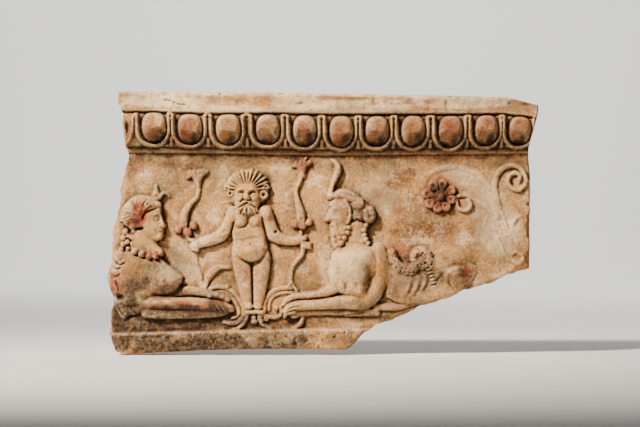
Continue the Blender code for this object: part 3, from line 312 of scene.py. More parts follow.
class Tool:
    """Works the clay in one figure's own millimetres, placed by its home point and scale."""

    def __init__(self, clay, home, scale):
        self.clay = clay
        self.home = home
        self.scale = scale

    def place(self, rows):
        p = np.array(rows, float) * self.scale
        p[:, :2] += self.home
        return p

    def at(self, x, z):
        """The same tool, drawing from another point of the figure."""
        return Tool(self.clay, tuple(self.place([(x, z)])[0]), self.scale)

    def raise_to(self, cells, field, blend):
        h = self.clay.h
        h[cells] = np.where(field > 0, meet(h[cells], field, blend * self.scale), h[cells])

    def strip(self, rows, shape, wall):
        clay = self.clay
        p = self.place(curve(rows))
        field = np.zeros(clay.h.shape)
        for a, b in zip(p, p[1:]):
            cells = clay.window((a[0], b[0]), (a[1], b[1]), max(a[2], b[2]))
            x = clay.x[cells]
            z = clay.z[cells]
            dx, dz = b[:2] - a[:2]
            t = np.clip(((x - a[0]) * dx + (z - a[1]) * dz) / (dx * dx + dz * dz + 1e-9), 0, 1)
            half, height = a[2:, None, None] + (b - a)[2:, None, None] * t
            q = ((x - a[0] - t * dx) ** 2 + (z - a[1] - t * dz) ** 2) / half**2
            field[cells] = np.maximum(field[cells], height * section(q, shape, wall))
        cells = clay.window(p[:, 0], p[:, 1], p[:, 2].max())
        return cells, field[cells]

    def limb(self, *rows, wall=0.35, blend=2.0):
        """Raises a rounded strip through rows of x, z, half width and height."""
        cells, field = self.strip(rows, ROUND, wall)
        self.raise_to(cells, field, blend)

    def ridge(self, *rows):
        """Adds a soft strip on top of what is there."""
        cells, field = self.strip(rows, SOFT, 0)
        self.clay.h[cells] += field

    def line(self, points, half, depth, fade=0.35):
        """A soft ridge, or a groove where depth is below 0, that fades at both ends."""
        last = len(points) - 1
        rows = []
        for k, (x, z) in enumerate(points):
            rows.append((x, z, half, abs(depth) * (fade if k in (0, last) else 1)))
        cells, field = self.strip(rows, SOFT, 0)
        self.clay.h[cells] += math.copysign(1, depth) * field

    def oval(self, x, z, rx, rz, turn=0):
        clay = self.clay
        px, pz, rx, rz = self.place([(x, z, rx, rz)])[0]
        cells = clay.window(px, pz, max(rx, rz))
        c = math.cos(math.radians(turn))
        s = math.sin(math.radians(turn))
        dx = clay.x[cells] - px
        dz = clay.z[cells] - pz
        return cells, ((dx * c + dz * s) / rx) ** 2 + ((dz * c - dx * s) / rz) ** 2

    def lump(self, x, z, rx, rz, height, turn=0, wall=0.35, blend=2.0):
        """Raises an oval dome to a height above the ground."""
        cells, q = self.oval(x, z, rx, rz, turn)
        self.raise_to(cells, height * self.scale * section(q, ROUND, wall), blend)

    def swell(self, x, z, rx, rz, height, turn=0):
        """Adds an oval swelling, or a hollow where height is below 0."""
        cells, q = self.oval(x, z, rx, rz, turn)
        self.clay.h[cells] += height * self.scale * section(q, SOFT, 0)

    def swells(self, *rows):
        """Adds several swellings and hollows."""
        for row in rows:
            self.swell(*row)

    def mass(self, outline, height, shoulder, blend=2.0, wall=0.3):
        """Raises a closed outline whose rim rounds over within a shoulder's width."""
        clay = self.clay
        loop = self.place([(x, z, 0, 0) for x, z in outline])[:, :2]
        loop = curve(np.vstack([loop[-1:], loop, loop[:2]]))[7:-7]
        cells = clay.window(loop[:, 0], loop[:, 1], 1)
        x = clay.x[cells]
        z = clay.z[cells]
        near = np.full(x.shape, 1e9)
        inside = np.zeros(x.shape, bool)
        for a, b in zip(loop, np.roll(loop, -1, axis=0)):
            dx, dz = b - a
            t = np.clip(((x - a[0]) * dx + (z - a[1]) * dz) / (dx * dx + dz * dz + 1e-9), 0, 1)
            near = np.minimum(near, (x - a[0] - t * dx) ** 2 + (z - a[1] - t * dz) ** 2)
            if a[1] != b[1]:
                inside ^= ((a[1] > z) != (b[1] > z)) & (x < dx * (z - a[1]) / dz + a[0])
        depth = np.clip(np.sqrt(near) / (shoulder * self.scale), 0, 1)
        field = np.where(inside, height * self.scale * section((1 - depth) ** 2, ROUND, wall), 0)
        self.raise_to(cells, field, blend)

    def dab(self, colour, x, z, rx, rz, strength, turn=0):
        """Brushes an oval of paint on, thinner towards its rim."""
        cells, q = self.oval(x, z, rx, rz, turn)
        layer = self.clay.paint[colour]
        layer[cells] = np.maximum(layer[cells], strength * between(1 - q, 0, 0.8))


# Drawn from the floor between his feet
def god(clay):
    t = Tool(clay, (GOD_PLACE * PLAQUE_WIDTH, FIELD_FLOOR + GOD_LIFT), GOD_HEIGHT / GOD_DRAWN)
    scrolls(t)
    staff_left(t.at(-55, 64))
    staff_right(t.at(52, 68))
    # Arms
    t.limb(
        (-17, 97, 6.5, 8.5), (-21, 88, 5.8, 8), (-27.5, 76, 6.4, 8), (-39, 70, 5.6, 8.5), (-48, 67.5, 5, 8),
        (-53, 65, 4.6, 8), wall=0.25,
    )
    t.limb(
        (15, 97, 7.5, 10), (19, 86, 7, 9), (24, 75, 7, 9), (34, 70, 5, 8), (43, 69, 4.4, 7.5),
        (51, 70.5, 4.2, 7.5),
    )
    # Trunk and legs
    left = [(-16, 99), (-17.5, 88), (-18.5, 78), (-17, 69), (-18.5, 58), (-17, 48), (-8, 42), (3, 46)]
    right = [(14, 44), (20, 52), (18.5, 62), (16, 74), (13, 86), (13, 98), (0, 103)]
    t.mass(left + right, 10, 8)
    t.limb(
        (-8.6, 52, 9.8, 9), (-7.4, 40, 9, 9), (-5.6, 28, 7.8, 8.5), (-3.6, 15, 6.4, 8), (-1.9, 5, 4.6, 6.5),
        wall=0.25,
    )
    t.limb(
        (11, 52, 9.8, 9), (10.8, 40, 9, 9), (10, 28, 7.8, 8.5), (8.9, 15, 6.6, 8), (7.7, 5, 4.9, 6.5),
        wall=0.25,
    )
    t.swells(
        (1.4, 58.5, 19, 14, 7.6), (0, 62, 14, 9, 1.8), (-9, 89.5, 9.5, 8, 4, -14),
        (6.4, 89.5, 9, 8, 3.4, 12), (-15.5, 96.5, 8, 7, 2.6), (16.5, 96, 8, 7, 3.2),
    )
    # Creases of the chest, ribs, waist, belly and legs
    t.line([(-15, 83.5), (-10, 82.4), (-5, 84), (-2.4, 88), (-2.2, 93)], 2.3, -1.8)
    t.line([(-0.5, 86), (4, 83.4), (9, 84)], 2, -1.2)
    t.line([(-17, 70), (-12, 68.6), (-5, 70), (3, 72.4), (11, 73)], 3, -0.9)
    t.line([(-16, 76), (-10, 74.2), (-5, 74.4)], 1.5, -1.0)
    t.swell(0.6, 66, 1.5, 1.7, -3.4)
    t.line([(12, 61.5), (15, 60), (19, 60.6)], 1.5, -2.2)
    t.line([(-15, 57), (-11, 52), (-4, 48.2), (3, 47), (9.4, 49.6), (14, 55), (17.6, 60.5)], 2.8, -3)
    t.line([(-8, 50), (-2, 46), (2.6, 43.6), (8, 46.6), (11, 50)], 1.6, -1.2)
    t.line([(2.2, 44), (2, 36), (2.3, 20), (2.5, 3)], 1.8, -4.6, fade=0.8)
    t.line([(14.8, 76), (15.6, 66), (17.6, 60)], 1.6, -1.6)
    t.swells((25.5, 78.3, 2.2, 2.4, -5), (-26, 79, 5, 4, -2, 40))
    for x, z in ((-30, 72), (-33, 75.5), (-24, 75), (-27, 71)):
        t.swell(x, z, 1.6, 1.2, -2, turn=30)
    t.line([(19.5, 89.5), (24.5, 88)], 1.6, -2.2)
    t.line([(-14.5, 91), (-16.8, 84), (-19, 78), (-24, 71)], 1.5, -3.4)
    t.line([(12, 93), (14.5, 82), (16.6, 72), (18.4, 62)], 1.6, -4.6)
    t.line([(-31, 71), (-35, 73.5), (-38, 72)], 1.8, -1.2)
    for x, z in ((-6, 32), (10, 33)):
        t.swells((x, z, 4.5, 4.5, 0.9), (x, z - 5.5, 4, 2.5, -0.6))
    for x, z in ((-1.6, 9), (7.6, 9)):
        t.line([(x - 4.5, z), (x, z - 1.4), (x + 4.5, z)], 1.2, -1)
    # Feet on the little stand
    for x in (-1.6, 7.8):
        t.lump(x, 3.4, 5, 3.6, 7.5)
        for k in range(3):
            t.swell(x - 2.4 + 2.4 * k, 0.6, 1.2, 1.6, 1.2)
    t.limb((-3, -2.2, 2.2, 7), (12, -2.2, 2.2, 7), wall=0.6)
    # Left hand round the stem, right hand with its thumb and fingers past the stem
    t.lump(-55, 64, 4.8, 5.6, 9, turn=20)
    for k, (x, z) in enumerate(((-57, 68.5), (-58.5, 65.8), (-58.8, 63), (-57.5, 60.4))):
        t.limb((x - 1, z, 1.4, 8), (x + 5, z - 0.5, 1.6, 10 - 0.3 * k), wall=0.3)
    t.line([(-59, 68), (-53, 69.5)], 0.9, -2.5, fade=1)
    t.swell(-55, 62, 0.9, 1.4, -4.5)
    t.lump(54.5, 72, 2.8, 2.8, 7.2)
    for k in range(3):
        t.limb(
            (52, 67.5 - 2.2 * k, 1.5, 6.6), (57, 67 - 2.2 * k, 1.5, 6), (60.5, 66.5 - 2.3 * k, 1.3, 4.6),
            wall=0.3,
        )
    god_head(t.at(-3, 119))


# Drawn from the middle of the brow line
def god_head(t):
    # Crown of thick locks, parted by deep grooves and curled at their tips
    t.lump(0, 2.4, 22, 19.6, 8, wall=0.4)
    rng = np.random.default_rng(3)
    locks = 13
    step = math.radians(13.4)
    for k in range(locks):
        angle = math.radians(10) + step * k + rng.uniform(-0.03, 0.03)
        lean = rng.uniform(-1.2, 1.2)
        reach = 20.6 + rng.uniform(-1, 1.2)
        rows = []
        for share, half, rise in ((0.45, 1.3, 2), (0.7, 1.9, 3), (0.9, 2.3, 3.4), (1.02, 2, 2.4)):
            swing = lean * share**2
            x = share * reach * math.cos(angle) - swing
            rows.append((x, share * reach * math.sin(angle) + 0.6, half, rise))
        t.ridge(*rows)
        t.swell(1.02 * reach * math.cos(angle) - lean, 1.02 * reach * math.sin(angle) + 0.6, 2, 2, 1.8)
        turned = angle + 0.5 * step
        groove = []
        for far in (0.48 * reach, 0.74 * reach, 0.98 * reach):
            groove.append((far * math.cos(turned), far * math.sin(turned) + 0.6))
        t.line(groove, 1, -2 - 1.8 * max(0, math.cos(turned)), fade=0.6)
    # Side curls and ears
    for x, z, r, hole in (
        (-20, 3, 3.2, 1.3), (19, 4.4, 3.4, 1.3), (-16.9, -2.4, 3.4, 2), (16.6, -3.6, 4.9, 2.6),
    ):
        t.lump(x, z, r, r, 9, wall=0.6)
        t.swell(x, z, hole, hole * 1.1, -9)
    # Face
    jaw = [(-12, 3), (-13, -5), (-12, -15), (-9, -22), (0, -26), (9, -23), (12, -15), (13, -5), (12, 3)]
    t.mass(jaw + [(7, 8), (0, 9), (-7, 8)], 11.5, 7, wall=0.45)
    t.swell(0, 4, 9, 4, 1.2)
    for k in range(2):
        t.line([(-7, 4.6 + 2.2 * k), (0, 5.4 + 2.2 * k), (7, 4.6 + 2.2 * k)], 0.8, -0.9)
    # Eye hollows, brows, eyes, cheeks
    for side in (-1, 1):
        x = side * 6.2
        t.swell(x - 0.4 * side, -2.4, 4.6, 3.8, -4)
        t.line([(x - side * 4.6, 0), (x - side, 2.2), (x + side * 3.8, 0.6)], 1.6, 2.8)
        t.swell(x, -3.3, 3, 2, 3.8)
        t.line([(x - 2.8, -3.2), (x, -1.9), (x + 2.8, -3.4)], 0.8, 1.2)
        t.line([(x - 2.8, -4.8), (x, -5.4), (x + 2.8, -4.8)], 0.9, 1)
        t.swell(side * 7, -8, 3.6, 2.8, 2.4)
        t.line([(side * 3.4, -7), (side * 6.6, -11.5)], 1.2, -2.4, fade=1)
    # Broad nose, moustache, mouth and fanned beard
    t.ridge((0, 1.4, 1.9, 1.4), (0, -3, 2.2, 3), (0, -6.4, 3.2, 5.4))
    for side in (-1, 1):
        t.swell(side * 2.3, -7.2, 1.8, 1.5, 2.2)
        t.ridge((side, -10.4, 1.5, 2.6), (side * 4.6, -11.6, 1.7, 3), (side * 8.6, -15, 1.4, 1.8))
        t.line([(side * 3, -13.6), (side * 7, -15.4), (side * 9.4, -18)], 1, -2.2)
    t.line([(-2.8, -9), (0.5, -9.4), (3.4, -8.8)], 0.9, -3, fade=1)
    t.lump(0.4, -20.4, 11.6, 6.6, 12, blend=3)
    t.swells((-0.2, -12, 2.2, 1.1, -4.4), (0, -14, 2.4, 1.1, 1.8))
    strands = 8
    for k in range(strands):
        f = 2 * k / (strands - 1) - 1
        bend = 1.2 * (-1) ** k
        t.ridge(
            (4 * f, -15.6, 1, 0.8), (8 * f + bend, -18.6, 1.5, 2.4), (11 * f, -22.6 + 2.5 * f * f, 1.6, 2.4),
        )
        f += 1 / (strands - 1)
        t.line([(5 * f, -17), (8.6 * f, -19.6), (11.2 * f, -22.8 + 2.5 * f * f)], 0.8, -1.7)
        t.swell(10 * f + bend, -21 + 2 * f * f, 1.5, 1.4, 1.4)
    # Broken scar beside his ear
    t.line([(-26.6, -9.4), (-21, -8.6), (-15, -7.4)], 0.9, -2)
    t.line([(-26, -11.6), (-20, -11), (-16, -10)], 1.6, 0.9)


# Drawn from the left hand
def staff_left(t):
    t.limb(
        (-1, -5, 2.8, 2.8), (0, -16, 2.8, 2.4), (4, -29, 2.8, 2.4), (7, -42, 2.6, 3), (9, -48, 2.2, 3.6),
        wall=0.3,
    )
    t.line([(-1.6, -7), (-0.6, -17), (3, -30), (6, -42)], 1, -1.5)
    t.limb((9.4, -47, 1.8, 3.6), (11, -36, 3, 4), (16, -27, 4, 4.4), (24, -21.6, 3, 4.2), (34, -22, 0.8, 3))
    t.line([(10, -40), (12, -32), (18, -25), (26, -20.6)], 0.9, -1.2)
    t.line([(12.4, -42), (14.4, -34), (19.4, -27.4), (27, -23.4)], 0.9, -1)
    t.limb((-12, 21, 4.6, 6.5), (-10.6, 33, 4, 6), (-5, 42, 2.8, 5), (1.6, 49, 2.2, 4), (3.6, 57, 2, 3.2))
    for x, z, r in ((-17, 16.5, 4), (-8, 14, 4.6), (-2, 20.5, 4)):
        t.lump(x, z, r, r, 7.6, wall=0.55)
        t.swell(x, z, 0.6 * r, 0.6 * r, -0.5)
    t.limb((-8, 10, 2, 5.5), (-6, 6.4, 2.2, 6), (-2, 5, 2.4, 6.5), wall=0.5)
    cup = [
        (-8, 71), (-3, 68), (0, 62), (2, 58.4), (5, 59), (6, 65), (8.4, 69.6), (13.4, 74), (11, 76.6),
        (2, 77),
    ]
    flower(t, cup + [(-7, 74.6)], [(-8, 71.6), (0, 73), (6, 73), (12, 75)], -5.5, 74.6)
    t.limb((-6, 69.6, 1.8, 4.6), (-8.6, 68, 1.2, 3.4), wall=0.4)


# Drawn from the right hand
def staff_right(t):
    t.limb(
        (-1.4, 10, 2, 5), (-0.6, 2, 2.2, 5), (1, -7, 2.2, 4.6), (-0.4, -13, 2.2, 4.2), (-5, -18.5, 2.2, 3.8),
        (-9.6, -25.5, 2.2, 3.4), (-11, -34, 2.2, 3), (-11, -42, 2, 3),
    )
    t.limb((-11, -40, 1.6, 3.8), (-13, -44, 1.7, 3.4), (-16, -47, 1.4, 3), wall=0.5)
    t.limb((-10.6, -40, 1.4, 3.4), (-8, -45, 1.5, 3.2), (-5, -49, 1.4, 3), wall=0.5)
    t.limb(
        (-1, 21.5, 4.6, 6.6), (-1.4, 28, 4.7, 6.4), (-3, 36, 3.6, 5.6), (-5.4, 46, 2.4, 4.6),
        (-5.6, 53, 2.1, 4), (-2, 61, 2.1, 3.8), (-1, 65, 2.2, 4),
    )
    for x, z, r in ((-7.4, 17.8, 4.4), (0.2, 16.6, 4.6), (7, 19.6, 3.6)):
        t.lump(x, z, r, r, 7.6, wall=0.55)
    t.swells((0.4, 16, 2.4, 2.2, -1.4), (-0.4, 23.4, 2.6, 1.5, -2))
    cup = [
        (-12, 75), (-6, 74), (-3.6, 70), (-3, 65.4), (2.6, 65), (3.6, 71), (6, 76), (10.4, 79), (8, 82),
        (3, 80.6),
    ]
    flower(t, cup + [(0, 79.6), (-6, 79)], [(-10.5, 75.8), (-4, 77.4), (2, 77), (8, 80)], -6, 79)
    t.limb((1.6, 79, 1.1, 5), (3, 82, 1, 4), (4.4, 85, 0.9, 3), wall=0.5)


# A lotus in profile: its cup, the line under its rim, and ragged petals along the top
def flower(t, outline, rim, x, z):
    t.mass(outline, 4.8, 3.4)
    t.line(rim, 0.9, -1.8)
    for k in range(4):
        t.limb((x + 4.2 * k, z - 1, 1.7, 5), (x + 4.8 * k, z + 1.4 + 0.8 * (k % 2), 1.1, 3), wall=0.3)


# Scrolls of the plant under the god, drawn with him
def scrolls(t):
    # Left volute: a double band that curls under the paw
    t.limb(
        (-46, 17, 2.2, 2.4), (-36, 22.6, 2.4, 2.8), (-23, 21.4, 2.4, 3.2), (-12, 12, 2.4, 3.4),
        (-6.4, 0, 2.4, 3.6), (-8.4, -8.6, 2.5, 4), (-16, -13.4, 2.3, 3.6), (-26, -12.6, 1.8, 2.8), wall=0.6,
    )
    t.limb(
        (-44, 13, 1.6, 2), (-35, 17.4, 1.9, 2.6), (-25, 16.8, 2, 3), (-16, 9, 2, 3.2), (-11, -0.6, 2, 3.4),
        (-13, -6.4, 2, 3.4), (-18, -8.6, 1.5, 2.6), wall=0.6,
    )
    t.lump(-23, 23.4, 2.4, 1.8, 5.6)
    # Right volute with its eye
    t.limb(
        (14, -2, 2.2, 3.2), (15, 8, 2.4, 3.4), (20, 16, 2.5, 3.4), (29, 21, 2.4, 3.2), (41, 22, 2.1, 2.4),
        wall=0.6,
    )
    t.limb(
        (18.6, 0, 1.6, 2.4), (19.6, 8, 1.7, 2.6), (24, 14, 1.7, 2.6), (32, 17, 1.7, 2.4),
        (42, 17.4, 1.5, 1.8), wall=0.6,
    )
    t.swells((26, 5, 9, 9, 1.4), (26.6, 2, 4.4, 4.4, 1.6), (26.2, 1.6, 4, 4, -2))
    t.lump(26.2, 1.6, 2.2, 2.2, 5, wall=0.5, blend=0.5)
    t.limb(
        (12, -4, 2, 4), (18, -7, 2, 4.2), (26, -7.6, 2, 4), (31, -4.6, 1.7, 3.6), (30, 3, 1.3, 2.6), wall=0.5,
    )
    # Stand, pendants and the little feet on the base band
    t.limb((-1, -2.4, 1.8, 6.4), (11.6, -2.4, 1.8, 6.4), wall=0.7)
    for x, z, rx, rz in (
        (3.4, -7.4, 2.8, 3), (9.8, -6.6, 3, 3.2), (16, -9, 3, 2.8), (4.4, -12, 3.2, 2.6), (11, -11, 2.6, 2.4),
    ):
        t.lump(x, z, rx, rz, 4.8, wall=0.5)
        t.swell(x, z, 0.5 * rx, 0.5 * rz, -0.8)
    t.limb((-2.6, -5, 2, 4), (-5.6, -12, 2.2, 4), (-11.6, -18.6, 2, 3), wall=0.4)
    t.limb((9, -10, 1.8, 4), (13, -15, 2, 3.6), (20, -18.6, 1.6, 2.6), wall=0.4)
    t.limb((52.6, -8, 2.2, 3.6), (50.6, -14, 2.6, 4), (44, -18.6, 2, 3))


# Drawn from the floor under her forearm
def left_sphinx(clay):
    home = (LEFT_SPHINX_PLACE * PLAQUE_WIDTH, FIELD_FLOOR + SPHINX_LIFT)
    t = Tool(clay, home, LEFT_SPHINX_HEIGHT / LEFT_SPHINX_DRAWN)
    # One broad form for shoulder and chest, swelling to the pointed breast
    left = [
        (-64, 58), (-62, 64), (-46, 68), (-30, 67), (-20, 64), (-12, 58), (-3, 50), (6, 43), (7.6, 40.4),
        (5.4, 33),
    ]
    t.mass(left + [(-2, 24), (-22, 20), (-36, 12), (-52, 12), (-60, 22), (-66, 36)], 11, 13, wall=0.22)
    t.swells(
        (-42, 42, 24, 30, 3.6, 8), (-44, 52, 16, 14, 1.6), (-8, 38, 20, 17, 5.4, -35),
        (-1, 38, 10, 9, 2.2, -30), (6, 41.2, 2.6, 2.2, 2.4), (-28, 34, 7, 10, -1.2),
    )
    t.line([(-21, 23.6), (-12, 21.8), (-2, 25)], 2.2, -2.6)
    t.line([(-40, 64), (-30, 60), (-22, 56)], 3, -1)
    # Body and the lion's shoulder at the lower left
    t.mass(
        [(-62, 20), (-54, 24), (-42, 20), (-34, 10), (-36, 3), (-46, 2), (-52, -2), (-58, 6)], 6, 9, wall=0.2,
    )
    t.line([(-62, 18), (-56, 8), (-50, 0)], 2, -2)
    t.line([(-46, 12), (-40, 5), (-34, 2)], 2, -1.6)
    # Rear, lower and front forearms
    t.limb(
        (-4, 25, 5, 6), (10, 27, 4.5, 6), (24, 26, 4, 6), (36, 23.5, 3.6, 6), (48, 21, 4, 6.5),
        (52, 18, 3.4, 6),
    )
    for x, z, r in ((34, 22.5, 3.4), (41, 23, 3), (47, 21.5, 3), (52.5, 18.5, 3)):
        t.lump(x, z, r, r, 7.8)
    t.limb(
        (-29.5, 5, 5.4, 8), (-20, 4, 5.2, 8), (0, 3.6, 5, 7.8), (24, 4, 4.8, 7.6), (45, 5, 4, 6.6),
        (54, 8, 3.5, 5), wall=0.15,
    )
    t.limb(
        (-34, 12, 6.5, 8), (-22, 15.2, 7.2, 10), (0, 14.2, 7, 10.4), (22, 13, 6.8, 10.2), (36, 12.2, 6.6, 10),
        (47, 10.4, 6, 9.8), (53, 8.6, 4, 8.5), wall=0.1, blend=4,
    )
    t.line([(-8, 17), (10, 17.6), (26, 17)], 2, 0.8)
    # Toes of the front paw
    for k in range(4):
        x = 38 + 5.4 * k
        z = 11 - 1.5 * k + 0.4 * k * k
        t.limb((x - 4, z + 3.5, 2.2, 10), (x + 1.5, z, 2.6, 10.6), (x + 2.8, z - 2.2, 2.1, 8.2), wall=0.3)
    for k in range(3):
        x = 40.5 + 5.4 * k
        t.line([(x - 2, 13 - 1.3 * k), (x + 2.5, 7.5 - 1.3 * k)], 0.9, -2.5, fade=1)
    side_locks(t)
    # Necklace of beads
    for x, z, r in (
        (-40.6, 66.5, 3.5), (-33.4, 64, 3.7), (-26, 61.8, 3.5), (-19.6, 61.6, 3.2), (-14.4, 64.6, 3),
    ):
        t.swell(x + 1.6, z - 3.6, 3, 2, -4, turn=-20)
        t.lump(x, z, r, 0.94 * r, 15, wall=0.5, blend=0.6)
    left_head(t.at(-37, 102))


# Locks and folds down the left edge, behind the shoulder
def side_locks(t):
    t.lump(-56.5, 61, 7.8, 7, 13, turn=-12, wall=0.4, blend=1)
    t.lump(-59, 51.8, 4.8, 2.8, 12.4, turn=-24, wall=0.5, blend=1)
    t.lump(-59.5, 45.6, 4.8, 5, 12.4, wall=0.45, blend=1)
    for x, z, r in (
        (-58.6, 57, 2.6), (-54.4, 58.6, 2.6), (-51.4, 56.6, 2.2), (-60.6, 61, 2.4), (-53, 63.6, 2.4),
    ):
        t.swells((x, z, r, r, 2), (x + 0.3, z - 0.3, 0.5 * r, 0.5 * r, -3))
    t.line([(-64, 60), (-60.4, 56), (-55, 53.2), (-50, 55.4)], 1.1, -5, fade=0.7)
    t.line([(-64, 53.4), (-58, 48.8), (-53.6, 51)], 1, -4, fade=0.7)
    t.line([(-65, 45), (-59.4, 40.6), (-55, 44)], 1.1, -4.5, fade=0.7)
    for k in range(3):
        t.line([(-62 + 3 * k, 66), (-59.6 + 3.2 * k, 63), (-59 + 3.4 * k, 60.4)], 0.8, -1.8)
    # Two long folds below them and the hollow under their tips
    t.limb((-66, 41, 3, 11), (-63, 34, 3.8, 12), (-59, 27, 3.2, 11), wall=0.4)
    t.limb((-57, 39.6, 3, 11.5), (-54, 33, 3.4, 12.4), (-52, 26.4, 2.8, 11), wall=0.4)
    t.line([(-60, 39), (-57.6, 33), (-55.6, 26)], 1.2, -4)
    t.line([(-65, 37), (-61.6, 31), (-58.6, 26.6)], 1, -1.4)
    t.lump(-54.6, 25.4, 3, 2, 11.6)
    t.swell(-55, 20.6, 6.5, 4.4, -5)


# Drawn from the middle of the hair
def left_head(t):
    t.mass([(-1, -12), (15, -18), (19, -28), (24, -36), (9, -44), (-7, -40), (-7, -24)], 7.5, 7)
    t.line([(8, -24), (14, -30), (17, -37)], 3, 1)
    # Face in profile
    face = [
        (22, 10), (23.6, 2), (25.2, -4), (27.8, -9.2), (27, -11.4), (25.2, -13.2), (25.8, -15.6),
        (24.8, -17.6),
    ]
    jaw = [(25.2, -20.4), (23, -23.6), (18, -25), (13, -23.4), (7, -19), (3, -12), (5, -2), (7, 4), (13, 8)]
    t.mass(face + jaw, 10.5, 5.5, wall=0.4)
    t.swells((14, -11, 10, 10, 2.2), (19.2, -2.6, 5, 4, -3.2, 20))
    t.line([(13, -0.2), (18, 2.6), (23, 1.2)], 1.7, 1.7)
    t.swell(18.8, -2.9, 2.9, 2, 2.5, turn=25)
    t.line([(15, -3), (18.5, -0.6), (22, -2)], 0.8, 1)
    t.line([(22.2, -1.4), (20.8, -4), (18.4, -5.4)], 0.8, -1.4)
    t.ridge((23.2, 1, 2, 1), (24.8, -4.5, 2.3, 2.6), (26.4, -8.6, 2.3, 3.6))
    t.swell(23.2, -9.6, 2, 1.7, 1.8)
    t.line([(21.5, -11), (24.5, -11.6), (27, -11.2)], 1, -2.4)
    t.swells((24.2, -14.2, 2.6, 1.2, 2), (24, -17.4, 2.4, 1.2, 2))
    t.line([(21.2, -16), (23.6, -15.6), (25.6, -15.8)], 0.9, -2.6)
    t.line([(20.4, -11), (18.8, -15), (20.2, -18)], 1.6, -1.2)
    t.swell(21.6, -21.2, 3.2, 2.6, 2.2)
    # Hair drawn back over a rounded cap
    cap = [
        (-18, -5), (-18, 4), (-14, 11), (-8, 17), (-1, 20.5), (8, 20.5), (16, 18), (22.5, 14), (23.5, 9.5),
        (17, 7.5),
    ]
    t.mass(cap + [(11, 5.5), (6.5, 1), (5.5, -4), (8.5, -8), (6, -11.5), (-3, -13), (-11, -11)], 11.5, 8)
    rng = np.random.default_rng(5)
    strands = 17
    for k in range(strands):
        angle = math.radians(205 - 175 * k / (strands - 1))
        wave = rng.uniform(-0.05, 0.05)
        rows = []
        for reach, half, rise in ((5.5, 0.9, 1), (10, 1.2, 2.4), (14.5, 1.5, 3), (18.5, 1.3, 1.8)):
            turned = angle + wave * reach / 9 + 0.05 * math.sin(reach)
            rows.append((reach * math.cos(turned), 0.95 * reach * math.sin(turned), half, rise))
        t.ridge(*rows)
    for k in range(5):
        x = 6 + 3.3 * k
        t.ridge((x, 5.6 + 0.9 * k, 1.3, 1.5), (x + 2.6, 9 + 0.8 * k, 1.5, 1.9), (x + 2, 12.6 + 0.5 * k, 1, 1))
    t.line([(6, 2), (12, 5.4), (22, 8.6)], 1.1, -2.8)
    # Ear hollow, rolls at the back and the knot
    t.swell(1.6, -12.2, 6.5, 2.6, -7)
    t.lump(-6, -10.5, 4, 2.8, 11.5, turn=20)
    t.lump(-16, -2.5, 2.6, 4, 9, turn=-25)
    t.line([(-19, -5), (-15.5, -6.6), (-13.5, -3)], 1, -3.2)
    for k in range(3):
        t.line([(-13, 0.6 - 2.8 * k), (-9, 2 - 2.8 * k), (-5, 1.4 - 2.6 * k)], 0.8, -1.6)
    # Pointed ornament and the hooked curl over the forehead
    t.mass(
        [(17.8, 32), (19.2, 29), (21.2, 24), (21.6, 20.4), (18, 19.2), (14, 20), (15, 25)], 5.6, 3.5,
        wall=0.35,
    )
    t.limb(
        (13, 18, 1.8, 6), (20, 17.8, 2, 7), (22.5, 20.5, 1.9, 7), (25, 23, 1.8, 6), (28.2, 22.8, 1.6, 5),
        (31, 19.8, 1.4, 3.2), wall=0.4,
    )
    t.swell(24.6, 17.4, 2.6, 2, -3)
    # Curls that fall on the neck and shoulder
    curls = (
        (-5, -15), (-13, -16), (-10, -20), (-15, -22), (-6.5, -21.5), (-11, -26), (-6, -28), (-15, -28.5),
        (-10.5, -32.5), (-17, -34),
    )
    for k, (x, z) in enumerate(curls):
        r = 2.5 + 0.4 * (k % 2)
        t.lump(x, z, r, r * 1.05, 9, wall=0.45)
        t.swell(x + 0.4, z - 0.3, 0.45 * r, 0.45 * r, -2.8)
        t.line([(x - r, z + 0.4), (x, z + 0.8 * r), (x + r, z + 0.2)], 0.6, -0.9)


